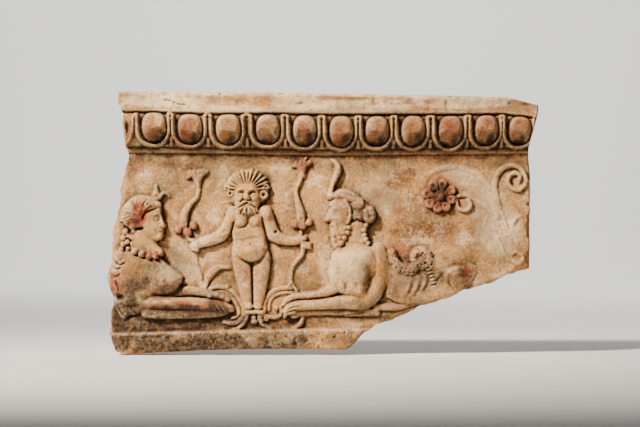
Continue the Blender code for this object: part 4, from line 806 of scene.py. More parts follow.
# Drawn from the floor under his chest, plume and all
def right_sphinx(clay):
    home = (RIGHT_SPHINX_PLACE * PLAQUE_WIDTH, FIELD_FLOOR + SPHINX_LIFT)
    t = Tool(clay, home, RIGHT_SPHINX_HEIGHT / RIGHT_SPHINX_DRAWN)
    # Body fading into the ground, then chest and shoulder
    belly = [
        (-6, 66), (-9, 56), (-10.5, 44), (-8, 32), (2, 22), (24, 14), (36, 14), (42, 22), (64, 12), (92, 14),
    ]
    back = [
        (118, 22), (126, 42), (104, 62), (90, 60), (76, 55), (62, 54), (52, 58), (46, 68), (40, 74), (26, 75),
    ]
    t.mass(belly + back + [(22, 84), (8, 84), (4, 74)], 6.5, 13, wall=0.16)
    chest = [
        (-6.5, 66), (-9.5, 55), (-10.5, 43), (-7, 31), (3, 23), (20, 18), (28, 24), (34, 40), (36, 58),
        (30, 72),
    ]
    t.mass(chest + [(16, 76), (4, 72)], 12.5, 14, wall=0.25, blend=5)
    t.swells(
        (12, 50, 26, 30, 4.4, 4), (4, 58, 14, 16, 1.4), (36, 60, 17, 20, 4.6, 24), (40, 44, 12, 20, 2.6, 8),
    )
    # Furrows of the chest, behind the arm and behind the shoulder
    t.swells(
        (-4.5, 32, 4, 9, -1.6, 12), (1.5, 35, 3, 9, 1.1, 8), (6, 32, 3, 8, -1.6, -6),
        (11.5, 34, 3.2, 10, 1), (17, 33, 2.6, 9, -1.2),
    )
    t.line([(31, 58), (30, 46), (29, 34), (27, 22)], 7.5, -2.4)
    t.line([(48, 42), (44, 28), (39, 16), (35, 7)], 7, -2)
    t.line([(50, 34), (45, 24), (41, 16)], 3.6, -1.4)
    t.line([(35, 30), (36, 20), (34, 10)], 3, 1.4)
    # Haunch rolling softly out of the ground, thigh, knee and the hind foot along the break
    haunch = [(84, 22), (92, 14), (118, 22), (132, 36), (138, 50), (130, 62), (116, 71), (102, 71)]
    t.mass(haunch + [(92, 64), (84, 50)], 3.4, 18, wall=0, blend=5)
    t.swells((110, 54, 31, 21, 5.4, -14), (118, 41, 18, 13, 5.4, -28), (115, 45, 10, 7, 2.4, 20))
    t.line([(106, 34), (106.5, 43), (112, 48.5), (120, 50.5), (127, 48)], 2.6, 1.9)
    t.line([(104, 37), (104, 45), (110, 52), (120, 54), (130, 50)], 3, -0.8)
    t.line([(96, 36), (101, 42), (104, 49)], 3.4, -1.6)
    t.line([(130, 57), (135, 54), (140, 52.5)], 1.4, -1.4)
    t.line([(109, 36), (112, 30), (116, 26)], 2, -1.8)
    t.line([(98, 62), (106, 60), (112, 55)], 4, -1)
    t.limb((36, 11, 4, 4.4), (52, 10.4, 4.2, 3.4), (72, 14, 3.4, 2), wall=0.1, blend=4)
    t.line([(33, 7), (46, 6.6), (58, 6)], 1.3, -2)
    t.line([(46, 17), (58, 14), (90, 13)], 2, -1.6)
    # Folds of the flank
    for x, z in ((68, 30), (76, 31), (84, 34)):
        t.line([(x - 5, z - 9), (x, z), (x + 3, z + 10)], 3, 1.2)
        t.line([(x - 1, z - 9), (x + 4, z), (x + 7, z + 9)], 2.4, -1)
    # Rear, lower and front forearms
    t.limb(
        (-4, 29, 5, 6.5), (-12, 26, 5, 6.5), (-22, 23.5, 4, 6), (-34, 22.5, 3.6, 6), (-46, 21, 3.4, 6),
        (-53, 17, 3, 5.5), (-57, 13, 2.2, 4.6), wall=0.3,
    )
    t.limb(
        (36, 6, 4.6, 5), (10, 5.5, 4.4, 4.8), (-14, 5.8, 4.2, 4.8), (-36, 5.5, 4.2, 5.4), (-46, 3.5, 5, 6.5),
        wall=0.2,
    )
    t.limb(
        (14, 15.4, 8, 12.4), (8, 15.6, 7.4, 12.4), (0, 15.2, 6.8, 12.2), (-14, 13.8, 5.8, 11.6),
        (-30, 12.6, 5.2, 11), (-42, 12, 5.4, 10.6), (-50, 10, 5, 9.6), (-55, 6.6, 3, 7.6), wall=0.3,
    )
    t.limb((12, 15, 7, 10.6), (23, 15, 8, 10), (33, 22, 8, 9.6), (38, 34, 8, 9.6), wall=0.1, blend=4)
    t.swell(11, 18.5, 8, 4, 2)
    t.line([(30, 5.6), (0, 2), (-20, 2.8), (-34, 2.2)], 1, -2.2)
    # Toes
    for k in range(3):
        x = -41 - 2.2 * k
        z = 13.8 - 4.1 * k
        t.limb(
            (x, z, 2.2, 11 - k), (x - 8, z - 1.4, 2.3, 10.5 - k), (x - 12.5 + 1.2 * k, z - 4.6, 1.8, 8.2 - k),
            wall=0.3,
        )
    t.line([(-38, 12), (-48, 10.4), (-53, 7.4)], 0.8, -2.4)
    t.line([(-40, 8.5), (-49, 6.6), (-54, 3.8)], 0.8, -2.2)
    t.line([(-45, 2), (-49, 2), (-52, 1.5)], 0.8, -1.6)
    for k in range(3):
        far = 3.4 * k
        fold = [(-44 - far, 25.6 - 1.4 * k), (-46 - far, 22 - 1.4 * k)]
        t.line(fold + [(-47.4 - far, 18.6 - 1.6 * k)], 0.8, -1.3)
    right_head(t.at(0, 102))
    curled_wing(t.at(81, 53))


# Drawn from the middle of the cheek
def right_head(t):
    t.mass([(6, -4), (24, -4), (24, -18), (30, -28), (2, -32), (6, -18)], 8, 8)
    # Face in profile
    face = [
        (-10.6, 14), (-9, 8), (-11, 2), (-15, -3.4), (-14.2, -5.6), (-10, -6.4), (-10.6, -9), (-9.4, -13),
        (-9.6, -17),
    ]
    t.mass(face + [(-2, -22), (6, -18), (9, -8), (10, 2), (9.6, 12), (4, 17), (-4, 18)], 11, 6, wall=0.4)
    t.swells((-1, -2, 8, 7, 1.8), (-6, 3.5, 4.6, 3.6, -2.8, -12))
    t.line([(-10.2, 6.4), (-6.5, 8.2), (-1, 6.8)], 1.6, 1.8)
    t.swell(-6, 3, 2.8, 1.8, 2.3, turn=-10)
    t.line([(-9, 4), (-6, 5.2), (-3, 4.2)], 0.8, 0.9)
    t.line([(-8.6, 1.6), (-6, 1), (-3.6, 1.8)], 0.8, 0.6)
    t.ridge((-9.6, 7, 1.8, 0.8), (-11, 1.5, 2.1, 2.4), (-12, -2.2, 2.3, 3.2))
    t.swell(-10, -3.2, 1.8, 1.6, 1.5)
    t.line([(-14.4, -6.8), (-11.8, -6.6), (-9.2, -6.2)], 1, -4.4)
    t.swell(-9.6, -9, 2.4, 1.2, 1.8)
    t.line([(-11.6, -11), (-9, -10.6), (-6.6, -10.6)], 0.9, -3.6)
    t.swell(-8.8, -13, 2.2, 1.2, 1.6)
    t.ridge((-9, -7.6, 1.1, 1.4), (-4.5, -10, 1.5, 1.8), (-3, -14.4, 1.2, 1.2))
    # Cap of hair drawn back
    cap = [
        (-9, 18), (-6, 24), (-1, 26.5), (6, 27), (14, 24), (20, 19), (24, 12), (22.5, 7.5), (12, 7), (8, 12),
        (0, 16),
    ]
    t.mass(cap, 11, 7, wall=0.35)
    strands = 7
    for k in range(strands):
        rows = [(-7 + 2.4 * k, 17.6 - 0.6 * k, 1, 1.1), (-3.5 + 3.3 * k, 21.2 - 0.7 * k, 1.2, 1.6)]
        t.ridge(*rows, (1 + 3.6 * k, 23.6 - 1.7 * k, 1, 0.8))
    t.limb((5, 15.6, 2.2, 12), (9.2, 9, 2.3, 12), (10.2, 1, 2.1, 11.6), (8.6, -6, 2, 11))
    for k in range(6):
        t.line([(7.4, 14.4 - 3.6 * k), (9.6, 13.8 - 3.6 * k), (12, 13 - 3.6 * k)], 0.8, -1.3)
    # Boss over the brow and the plume
    t.lump(-9, 20.6, 3.9, 4.8, 9, wall=0.45)
    t.line([(-12.4, 12), (-9.4, 14.4), (-5.6, 19.6)], 0.9, -3)
    t.limb(
        (-11, 18, 1.6, 6.4), (-9.4, 24, 3, 7), (-7.4, 31, 2.1, 7), (-5, 37.5, 2.8, 7.4), (-2.2, 44, 3.6, 7.8),
        (-1.6, 49.4, 3.1, 7), (-4.6, 54, 1.9, 5.4), (-8.6, 56.4, 0.8, 3.2), wall=0.3,
    )
    t.line([(-7.4, 31), (-5.4, 38), (-3, 46)], 0.9, -0.9)
    # Rolls behind the ear, the bun and the beaded tress
    t.lump(19, 4.6, 12, 10.5, 9, wall=0.5)
    t.lump(18.4, 12.4, 6.6, 6.4, 11.8, wall=0.6, blend=3)
    t.lump(17.2, 1, 5.8, 6.2, 10.4, wall=0.6, blend=2.6)
    t.swell(12.4, 3.6, 1.6, 1.6, -2.4)
    t.line([(10, -5.8), (14, -4.8), (17.4, -3), (20, -5.4), (24, -6)], 1.1, -3.6)
    t.lump(29, 1.2, 7.2, 9, 12.4, wall=0.5)
    for x, z, rx, rz, rise in (
        (30.5, 0, 3.6, 3, -2.6), (25, 5, 3, 2.8, 1.8), (31, 7, 2.6, 2.2, 1.6), (26.6, -3, 2.4, 2, 1.6),
    ):
        t.swell(x, z, rx, rz, rise)
    t.line([(24, 8), (28, 4), (30, -4)], 1, -1.2)
    for k, (x, z) in enumerate(((26, -9.4), (24.2, -14), (24.8, -18.8), (26.4, -23.2), (28.4, -27))):
        t.lump(x, z, 3 - 0.1 * k, 2.5, 10.6, turn=20, wall=0.45, blend=0.8)
    # Curly beard
    edge = [
        (-9, -16), (-8.6, -24), (-6.6, -31), (-1, -35.4), (2.4, -32), (6.4, -26), (10, -18), (10.4, -10),
        (8.6, -4),
    ]
    t.mass(edge + [(5, -10), (-1, -16)], 9.4, 4.5, wall=0.4)
    curls = (
        (7.6, -6.6), (9, -11.4), (5.4, -12.4), (7.8, -16.4), (3.4, -17.2), (-1.8, -17.4), (-6.4, -19.6),
        (4.6, -22), (-0.4, -22), (-5.6, -24.6), (1.8, -27), (-3.4, -29.4), (-0.8, -33.6),
    )
    for k, (x, z) in enumerate(curls):
        r = 2.4 + 0.3 * (k % 2)
        t.lump(x, z, r, r, 13.2, wall=0.3, blend=0.5)
        t.swell(x + 0.2, z - 0.3, 0.45 * r, 0.45 * r, -3.4)


# The curled tip of the wing behind the shoulder, drawn from its own middle
def curled_wing(t):
    t.lump(0, 3, 8, 10, 9, wall=0.3)
    t.limb(
        (-29, 12, 4.6, 8), (-26, 3, 5.2, 9), (-18.5, -3.5, 5.4, 10), (-10, -5, 5.4, 11), (-4, 0, 5, 11),
        wall=0.4,
    )
    t.limb(
        (-7, 6, 4.2, 10), (-5, 12, 4.6, 10.6), (1, 14, 4.8, 10.6), (7.5, 9, 5, 10.6), (8.4, 1.6, 5, 10.4),
        (2, -1, 4.4, 10), wall=0.4,
    )
    t.limb((8, -5, 3.6, 9), (10.6, -11, 3.8, 9), (12.4, -17, 3.6, 8.6), (13.6, -22, 2.8, 7), wall=0.4)
    # Rows of drilled pits
    rng = np.random.default_rng(4)
    rows = (
        ((-32, 10), (-29, 1), (-21, -6), (-11, -8.6), (-4, -6)),
        ((-29, 13), (-25.6, 4), (-18, -3), (-10, -4.6), (-3, 0)),
        ((-26, 12), (-22.5, 5), (-16, 0.5), (-9, -1)),
        ((-9, 6), (-7, 13), (1, 17), (9.4, 11.6), (11.6, 3), (8, -3)),
        ((-5, 7), (-3, 10.6), (1.4, 11.6), (5, 7.4), (5, 2), (0, 1)),
    )
    for row in rows:
        for x, z in curve(row, 2):
            bore = rng.uniform(0.9, 1.5)
            t.swells(
                (x + rng.uniform(-0.7, 0.7), z + rng.uniform(-0.7, 0.7), bore, 0.9 * bore, -4),
                (x + rng.uniform(-2, 2), z + rng.uniform(-2, 2), 2, 1.8, 1.5),
            )
    for k in range(5):
        x = 5.6 + 1.1 * k
        z = -7 - 3.4 * k
        t.line([(x, z), (x + 2.8, z + 1), (x + 6, z + 1.6)], 1, -3.4)


# The tall plant at the right, drawn from the middle of its stem
def plant(clay):
    home = (PLANT_PLACE * PLAQUE_WIDTH, FIELD_FLOOR + PLANT_LIFT)
    t = Tool(clay, home, SCROLL_PLANT_HEIGHT / PLANT_DRAWN)
    # Long flat leaf that arches over the rosette, edged by a cut line
    t.limb(
        (-70, 43, 2, 0.8), (-60, 49, 3.4, 1.2), (-48, 51.6, 4, 1.4), (-38, 51, 4.2, 1.4), (-28, 47, 4.6, 1.6),
        (-19, 40, 5, 1.8), (-11, 29, 5, 2), (-5, 15, 4.4, 2), (-2, 2, 3.8, 2), wall=0.2,
    )
    cut = [(-69, 42), (-60, 46), (-48, 48), (-36, 46.6), (-26, 42.4), (-20, 37), (-13, 27), (-7, 15)]
    t.line(cut, 1.2, -2.4)
    t.line([(-62, 51.6), (-48, 54.8), (-36, 54), (-25, 50)], 1, -0.9)
    # Stem of the rosette and its curl
    t.limb(
        (-46, 21, 1.8, 2.6), (-40, 22.4, 2, 3), (-33, 22.4, 2, 2.8), (-25, 19, 2.2, 1.9),
        (-14, 11.6, 2.2, 1.4), (-6, 4, 2, 1), wall=0.2,
    )
    t.line([(-30, 17.4), (-22, 13.6), (-14, 8.4), (-7, 3.4)], 1, -1.7)
    t.limb(
        (-43, 18, 1.8, 3.6), (-42, 12, 1.9, 4), (-38, 8, 2.1, 4), (-32, 8.4, 2.2, 4), (-28.6, 13, 2, 3.8),
        (-31, 18, 1.6, 3.2), wall=0.45,
    )
    t.swell(-36, 14, 3, 2.6, -1.4)
    # Tall stem that ends in the volute
    t.limb(
        (8, -16, 3, 1), (3, 0, 3, 1.4), (-2, 16, 3, 1.8), (-4.6, 30, 3, 2.2), (-2.6, 42, 2.8, 2.8),
        (3, 49.6, 2.8, 3.6), (11, 52.6, 2.6, 4), (19, 51, 2.4, 4), (25, 45, 2.3, 3.8), (27.6, 37, 2, 3.2),
        wall=0.25,
    )
    t.limb(
        (26, 33, 2, 3.2), (19.4, 28.2, 2.2, 3.8), (12.6, 30, 2.3, 4), (8.6, 36, 2.3, 4), (10.4, 42.6, 2.2, 4),
        (16.4, 45, 2, 3.8), (20.8, 41.6, 1.7, 3.6), (20, 37, 1.3, 3),
    )
    t.swell(17, 38, 2.4, 2.2, -3)
    # Low leaves and lines of the plant below
    t.line([(1, 4), (4, -6), (8, -16)], 1.1, -2)
    t.line([(-5, -15), (-1, -25), (4, -37), (8, -49)], 1.1, -1.8)
    t.line([(-7, -8), (-2, -20), (3, -31), (8, -43)], 2.4, 0.9)
    t.limb(
        (10, -42, 2.4, 0.8), (11.6, -22, 2.4, 1), (12.6, -8, 2, 1.4), (17, -0.6, 1.8, 1.5), (23, 3, 1.4, 1.2),
        wall=0.1,
    )
    t.line([(22, -3), (21.6, -18), (21, -34)], 1.1, -1.8)
    t.swell(16, -20, 5, 16, 0.9)
    t.limb((13, -36, 1.6, 1.6), (17, -33.6, 1.8, 2), (20.6, -36.4, 1.8, 1.8), wall=0.2)
    t.limb((13, -42, 2.2, 1.8), (19, -45.4, 2.4, 2.2), (23.6, -41.6, 2.2, 2.4), (22.4, -36, 1.8, 2), wall=0.3)
    t.swell(17, -40.4, 3.2, 2.2, -1.6)
    rosette(t.at(-60, 21))


# Eight cupped petals of uneven size round a boss
def rosette(t):
    petals = (
        (-6.4, 11.6, 5.6), (3.2, 13.2, 4.8), (12, 6.8, 5), (12.2, -2.4, 4.6),
        (6.6, -9.6, 5.4), (-2.2, -11.2, 5), (-10, -6.6, 5.2), (-13, 3.4, 5.4),
    )
    t.lump(0, 0, 0.82 * ROSETTE_RADIUS, 0.82 * ROSETTE_RADIUS, 5.6, wall=0.45)
    for x, z, r in petals:
        t.lump(0.97 * x, 0.97 * z, r, r, 6.8, wall=0.5, blend=0.8)
        t.swell(0.93 * x, 0.93 * z, 0.76 * r, 0.76 * r, -3)
    for (ax, az, _), (bx, bz, _) in zip(petals, petals[1:] + petals[:1]):
        x = (ax + bx) / 2
        z = (az + bz) / 2
        t.line([(0.5 * x, 0.5 * z), (0.8 * x, 0.8 * z), (1.05 * x, 1.05 * z)], 1, -2.4)
    t.swells((0.5, 0, 8, 8, -1.4), (-4.6, 5.4, 3.4, 2.8, -3.6, 40), (0, 7.4, 2.6, 1.6, -2))
    for x, z in ((-9.6, 0), (-5.4, -1), (8, 4), (12.6, 3)):
        t.swell(x, z, 1.2, 0.9, -3)
    t.lump(1.5, 0.4, 4.6, 3.2, 9.4, turn=45, blend=1)
    t.swell(1.4, -4.6, 1.4, 1.2, -2)


def along(points, value):
    """Reads an edge or course line at any place along it, with its corners eased."""
    places, sizes = zip(*points)
    return sum(np.interp(value + d, places, sizes) for d in np.linspace(-CORNER_EASE, CORNER_EASE, 5)) / 5


def top_edge(x):
    drop = [
        (-0.5, 9), (-0.485, 5), (-0.463, 0.4), (-0.3, 1), (-0.13, 1.6), (0.05, 2.6), (0.26, 4.2), (0.43, 6),
        (0.5, 14),
    ]
    return PLAQUE_HEIGHT / 2 - along(drop, x / PLAQUE_WIDTH)


def bottom_edge(x):
    """The moulded foot, then the long break up to the right."""
    foot = [(-0.5, 8), (-0.486, 4), (-0.46, 0), (-0.28, 4), (-0.14, 5.4), (0.058, 4.8)]
    broken = [
        (0.075, 11), (0.095, 21), (0.147, 33), (0.205, 43), (0.274, 55), (0.344, 65), (0.414, 76.5),
        (0.5, 88),
    ]
    return along(foot + broken, x / PLAQUE_WIDTH) - PLAQUE_HEIGHT / 2


def left_edge(z):
    """The broken left end, furthest out behind the left sphinx's shoulder."""
    low = [
        (-0.5, 9), (-0.48, 5.5), (-0.44, 3.5), (-0.33, 3.7), (-0.28, 5), (-0.215, 0), (-0.17, 2.7),
        (-0.08, 4),
    ]
    high = [
        (0.03, 8.8), (0.13, 13.8), (0.22, 18.2), (0.26, 20), (0.36, 17.5), (0.42, 15), (0.46, 12.5),
        (0.5, 13),
    ]
    return along(low + high, z / PLAQUE_HEIGHT) - PLAQUE_WIDTH / 2


def right_edge(z):
    inset = [
        (-0.5, 7), (-0.17, 6.5), (0.18, 6), (0.26, 8), (0.31, 7.4), (0.36, 4), (0.4, 1), (0.43, 0),
        (0.5, 0.6),
    ]
    return PLAQUE_WIDTH / 2 - along(inset, z / PLAQUE_HEIGHT)


def fascia_line(x):
    """Lower edge of the top band: it sags a little in the middle and drops at the right end."""
    sag = [(-0.5, -1.2), (-0.38, 0), (-0.28, 1.6), (-0.1, 1.2), (0, 2.4), (0.25, 2.2), (0.42, 1.8), (0.5, 6)]
    return PLAQUE_HEIGHT / 2 - FASCIA_HEIGHT - along(sag, x / PLAQUE_WIDTH)


def fillet_line(x):
    """Foot of the cornice, where the field begins."""
    sag = [(-0.5, 0.6), (-0.3, 1.2), (-0.2, 1.8), (0, 3.6), (0.1, 3.2), (0.25, 2.2), (0.5, 1.6)]
    height = FASCIA_HEIGHT + EGG_BAND_HEIGHT + FILLET_HEIGHT
    return PLAQUE_HEIGHT / 2 - height - along(sag, x / PLAQUE_WIDTH)


def cornice(clay):
    x = clay.x
    z = clay.z
    fascia = fascia_line(x)
    foot = fillet_line(x)
    band_foot = foot + FILLET_HEIGHT
    s = np.clip((z - band_foot) / (fascia - band_foot), 0, 1)
    ovolo = OVOLO_FOOT + (OVOLO_TOP - OVOLO_FOOT) * (1 - (1 - s) ** OVOLO_FULLNESS) ** OVOLO_EASE
    fillet = FILLET_DEPTH * between(z, foot - 0.6, foot + 1.4)
    band = np.where(z > band_foot, ovolo, fillet)
    clay.h = np.where(z > foot - 0.6, np.maximum(clay.h, band), clay.h)
    t = Tool(clay, (0, 0), 1)
    for row in EGGS:
        shell(t, *row)
    t.ridge(
        (-196, 79, 1.7, 4), (-191, 86, 2, 4.4), (-188.4, 96, 2.1, 4.4), (-188, 105, 2.1, 4.4),
        (-186, 108.6, 2.2, 4), (-183.4, 106, 2.1, 3),
    )
    t.swell(-194.6, 95, 3.4, 9, -4)
    for left, right in zip(EGGS, EGGS[1:]):
        dart(t, left, right)
    for k, row in enumerate(EGGS):
        egg(t, k, row[0] + EGG_SHIFT, *row[1:])
    clay.h = np.minimum(clay.h, FASCIA_DEPTH + EGG_PROUD)
    lip = between(z, fascia - 0.7, fascia + 0.7)
    gap = SEAM_DEPTH * np.exp(-(((z - fascia + 1.2) / 1.1) ** 2))
    clay.h = (clay.h - gap) * (1 - lip) + FASCIA_DEPTH * lip


def shell(t, x, z, rx, rz):
    """The ridge that runs down one side of an egg, under it and up the other."""
    rows = [(x - rx - 3.4, z + 13, 2.6, 4.6), (x - rx - SHELL_GAP, z + 6, 2.8, 4.8)]
    steps = 14
    for k in range(steps + 1):
        angle = math.pi * k / steps
        full = 1 + 0.05 * abs(math.sin(2 * angle))
        across = (rx + SHELL_GAP) * full * math.cos(angle)
        rows.append((x - across, z - 0.3 - (rz + 2) * full * math.sin(angle), 3, 4.8))
    t.ridge(*rows, (x + rx + SHELL_GAP, z + 6, 2.8, 4.8), (x + rx + 3.4, z + 13, 2.6, 4.6))


def dart(t, left, right):
    """The hairpin that joins two shells at the top, its slot, and the dart's point at the foot."""
    start = left[0] + left[2] + 3
    end = right[0] - right[2] - 3
    x = (start + end) / 2
    z = (left[1] + right[1]) / 2
    t.ridge(
        (start, z + 12.6, 2, 2.5), (x - 1.8, z + 14.6, 2.3, 3.6), (x + 1.8, z + 14.6, 2.3, 3.6),
        (end, z + 12.6, 2, 2.5),
    )
    t.ridge((x, z + 13, 3.4, 1.6), (x, z + 4, 3, 2.6), (x, z - 6, 2, 1.6))
    t.line([(x, z + 8), (x, z + 3), (x, z - 4), (x, z - 8)], 1.2, -3.8, fade=0.8)
    t.swell(x, z + 11.6, 1.2, 1.3, -5)
    for side in (-1, 1):
        t.swell(x + 3 * side, z - 13.6, 2.4, 4, -4)
    t.ridge((x, z - 6, 1, 2), (x, z - 11, 1.8, 4), (x, z - 15.8, 2.6, 3))


def egg(t, number, x, z, rx, rz):
    """An egg in its trough, with a blunt top and its own worn facets."""
    clay = t.clay
    cells, q = t.oval(x, z, rx + 1.8, rz + 1.8)
    clay.h[cells] -= EGG_TROUGH * np.clip((1 - q) * 4, 0, 1)
    cells, q = t.oval(x, z, rx, rz)
    up = (clay.z[cells] - z) / rz
    across = (clay.x[cells] - x) / rx
    bend = np.where(up > 0, EGG_TOP_BEND, EGG_FOOT_BEND)
    q = np.abs(across) ** bend + np.abs(up) ** bend
    dome = (EGG_TROUGH + EGG_RISE) * (0.2 * np.clip((1 - q) * 6, 0, 1) + 0.8 * np.sqrt(np.clip(1 - q, 0, 1)))
    rng = np.random.default_rng(60 + number)
    crest = rng.uniform(-0.15, 0.1)
    tilt = rng.uniform(-0.35, 0.35)
    rise = up - crest + tilt * across + 0.1 * mottle(clay.x[cells], clay.z[cells], 5, 61)
    for slope, peak in ((rng.uniform(1.6, 3), 0.92), (-rng.uniform(8, 12), 0.95)):
        dome = np.minimum(dome, peak * (EGG_TROUGH + EGG_RISE) - slope * rise)
    clay.h[cells] += np.where(q < 1, np.maximum(dome, 1.5), 0)


def base_band(clay):
    top = FIELD_FLOOR - BASE_SLOPE * between(-clay.x, 0, PLAQUE_WIDTH / 2)
    lean = 1 - BASE_LEAN * between(top - clay.z, 1, BASE_HEIGHT)
    clay.h = np.maximum(clay.h, BASE_DEPTH * lean * between(-clay.z, -top - 1, -top + 1.5))


def wear(clay):
    """Rolling ground, gritty skin, pits, scratches and chips."""
    x = clay.x
    z = clay.z
    field = between(fillet_line(x) - z, 0, 6)
    clay.h += field * (0.7 * mottle(x, z, 46, 70) + 0.35 * mottle(x, z, 17, 71))
    clay.h += 0.3 * fractal(x, z, 7, 72, octaves=3) + 0.2 * fractal(x, z, 1.8, 73, octaves=2)
    band = between(z - fascia_line(x), 1, 3)
    clay.h += band * (0.5 * mottle(0.12 * x, z, 2.6, 77) - 1.2 * between(mottle(x, z, 9, 78), 0.5, 0.9))
    clay.h += 0.25 * np.minimum(0, mottle(x, z, 1.6, 81) + 0.3)
    base = between(FIELD_FLOOR - z, -2, 2)
    clay.h += base * (fractal(x, z, 10, 74) + 1.1 * np.minimum(0, fractal(x, z, 4, 75) + 0.1))
    low = between(FIELD_FLOOR + 24 - z, 0, 10) * between(-x, 60, 120) * (1 - base)
    clay.h += low * (0.6 * mottle(0.2 * x, z, 3, 79) + 0.4 * fractal(x, z, 5, 80))
    t = Tool(clay, (0, 0), 1)
    rng = np.random.default_rng(76)
    for _ in range(PITS):
        size = rng.uniform(0.5, 1.3) * (1 + rng.random() ** 6)
        px = rng.uniform(-PLAQUE_WIDTH / 2, PLAQUE_WIDTH / 2)
        pz = rng.uniform(-PLAQUE_HEIGHT / 2, PLAQUE_HEIGHT / 2)
        t.swell(px, pz, size, size * rng.uniform(0.6, 1), -rng.uniform(0.4, 1.1), turn=rng.uniform(0, 180))
    # Scratches on the top band and bites out of its upper edge
    for scratch in SCRATCHES:
        t.line(scratch, 1.1, -1.6, fade=1)
    for px, size in TOP_BITES:
        t.swell(px, top_edge(px), size, 0.6 * size, -3)


def relief():
    clay = Clay()
    god(clay)
    left_sphinx(clay)
    right_sphinx(clay)
    plant(clay)
    base_band(clay)
    cornice(clay)
    clay.h = soften(clay.h, SOFTENING / CELL)
    wear(clay)
    return clay


def jag(place, seed):
    """Uneven line of a break, in millimetres: long waves and, smaller, short ones."""
    rng = np.random.default_rng(seed)
    total = 0
    for length in JAG_LENGTHS:
        total = total + length / 60 * np.sin(2 * math.pi * (place / length + rng.random()))
    return BREAK_ROUGHNESS * total


def easy_bottom(x):
    """The bottom edge with its steps ironed out, for the grid lines further up."""
    spread = 0.1 * PLAQUE_WIDTH
    return sum(bottom_edge(x + d) for d in np.linspace(-spread, spread, 9)) / 9


def sheet(columns, rows):
    """Points of a grid that fills the plaque's outline."""
    u, v = np.meshgrid(np.linspace(0, 1, columns + 1), np.linspace(0, 1, rows + 1))
    x = (u - 0.5) * PLAQUE_WIDTH
    for _ in range(SETTLING_ROUNDS):
        easy = easy_bottom(x)
        z = easy + v * (top_edge(x) - easy) + (bottom_edge(x) - easy) * (1 - v) ** 6
        x = left_edge(z) + u * (right_edge(z) - left_edge(z))
    x = x + jag(z, OUTLINE_SEED) * (1 - u) ** JAG_FADE
    lower_right = between(x, 0.05 * PLAQUE_WIDTH, 0.1 * PLAQUE_WIDTH)
    z = z + jag(x, OUTLINE_SEED + 1) * (1 - v) ** JAG_FADE * lower_right
    return x, z


def edge_gap(x, z):
    """Distance to the rim."""
    slope = (bottom_edge(x + 4) - bottom_edge(x - 4)) / 8
    gaps = [x - left_edge(z), right_edge(z) - x, top_edge(x) - z, (z - bottom_edge(x)) / np.hypot(1, slope)]
    return np.minimum.reduce(gaps)


def edge_round(x, z):
    """How far the front falls back close to the rim, more where it has chipped."""
    size = RIM_ROUND + RIM_CHIP * np.maximum(0, fractal(x, z, 14, 90))
    near = np.clip(edge_gap(x, z) / size, 0, 1)
    ragged = 1 + 0.3 * fractal(x, z, 8, 91)
    flake = LEFT_FLAKE * between(z, -60, -20) * between(-z, -75, -30) * ragged
    fall = np.maximum(flake - (x - left_edge(z)), 0)
    for low, high in RIGHT_FLAKES:
        reach = RIGHT_FLAKE * between(z, low - 2, low + 2) * between(-z, -high - 2, 2 - high) * ragged
        fall = np.maximum(fall, reach - (right_edge(z) - x))
    corner = CORNER_CHIP * between(x, 176, 200) * ragged - (z - bottom_edge(x))
    return size * (1 - np.sqrt(1 - (1 - near) ** 2)) + np.maximum(fall, corner)


def rim_of(columns, rows):
    """Index pairs once round the grid's rim, anticlockwise from the lower left as seen from the front."""
    bottom = [(0, j) for j in range(columns)]
    right = [(i, columns) for i in range(rows)]
    top = [(rows, j) for j in range(columns, 0, -1)]
    left = [(i, 0) for i in range(rows, 0, -1)]
    return bottom + right + top + left


def grid_faces(index, front):
    """Quads of a grid of vertex numbers, facing the front or the back."""
    corners = [index[:-1, :-1], index[:-1, 1:], index[1:, 1:], index[1:, :-1]]
    quads = np.stack(corners, axis=-1).reshape(-1, 4)
    return quads if front else quads[:, ::-1]


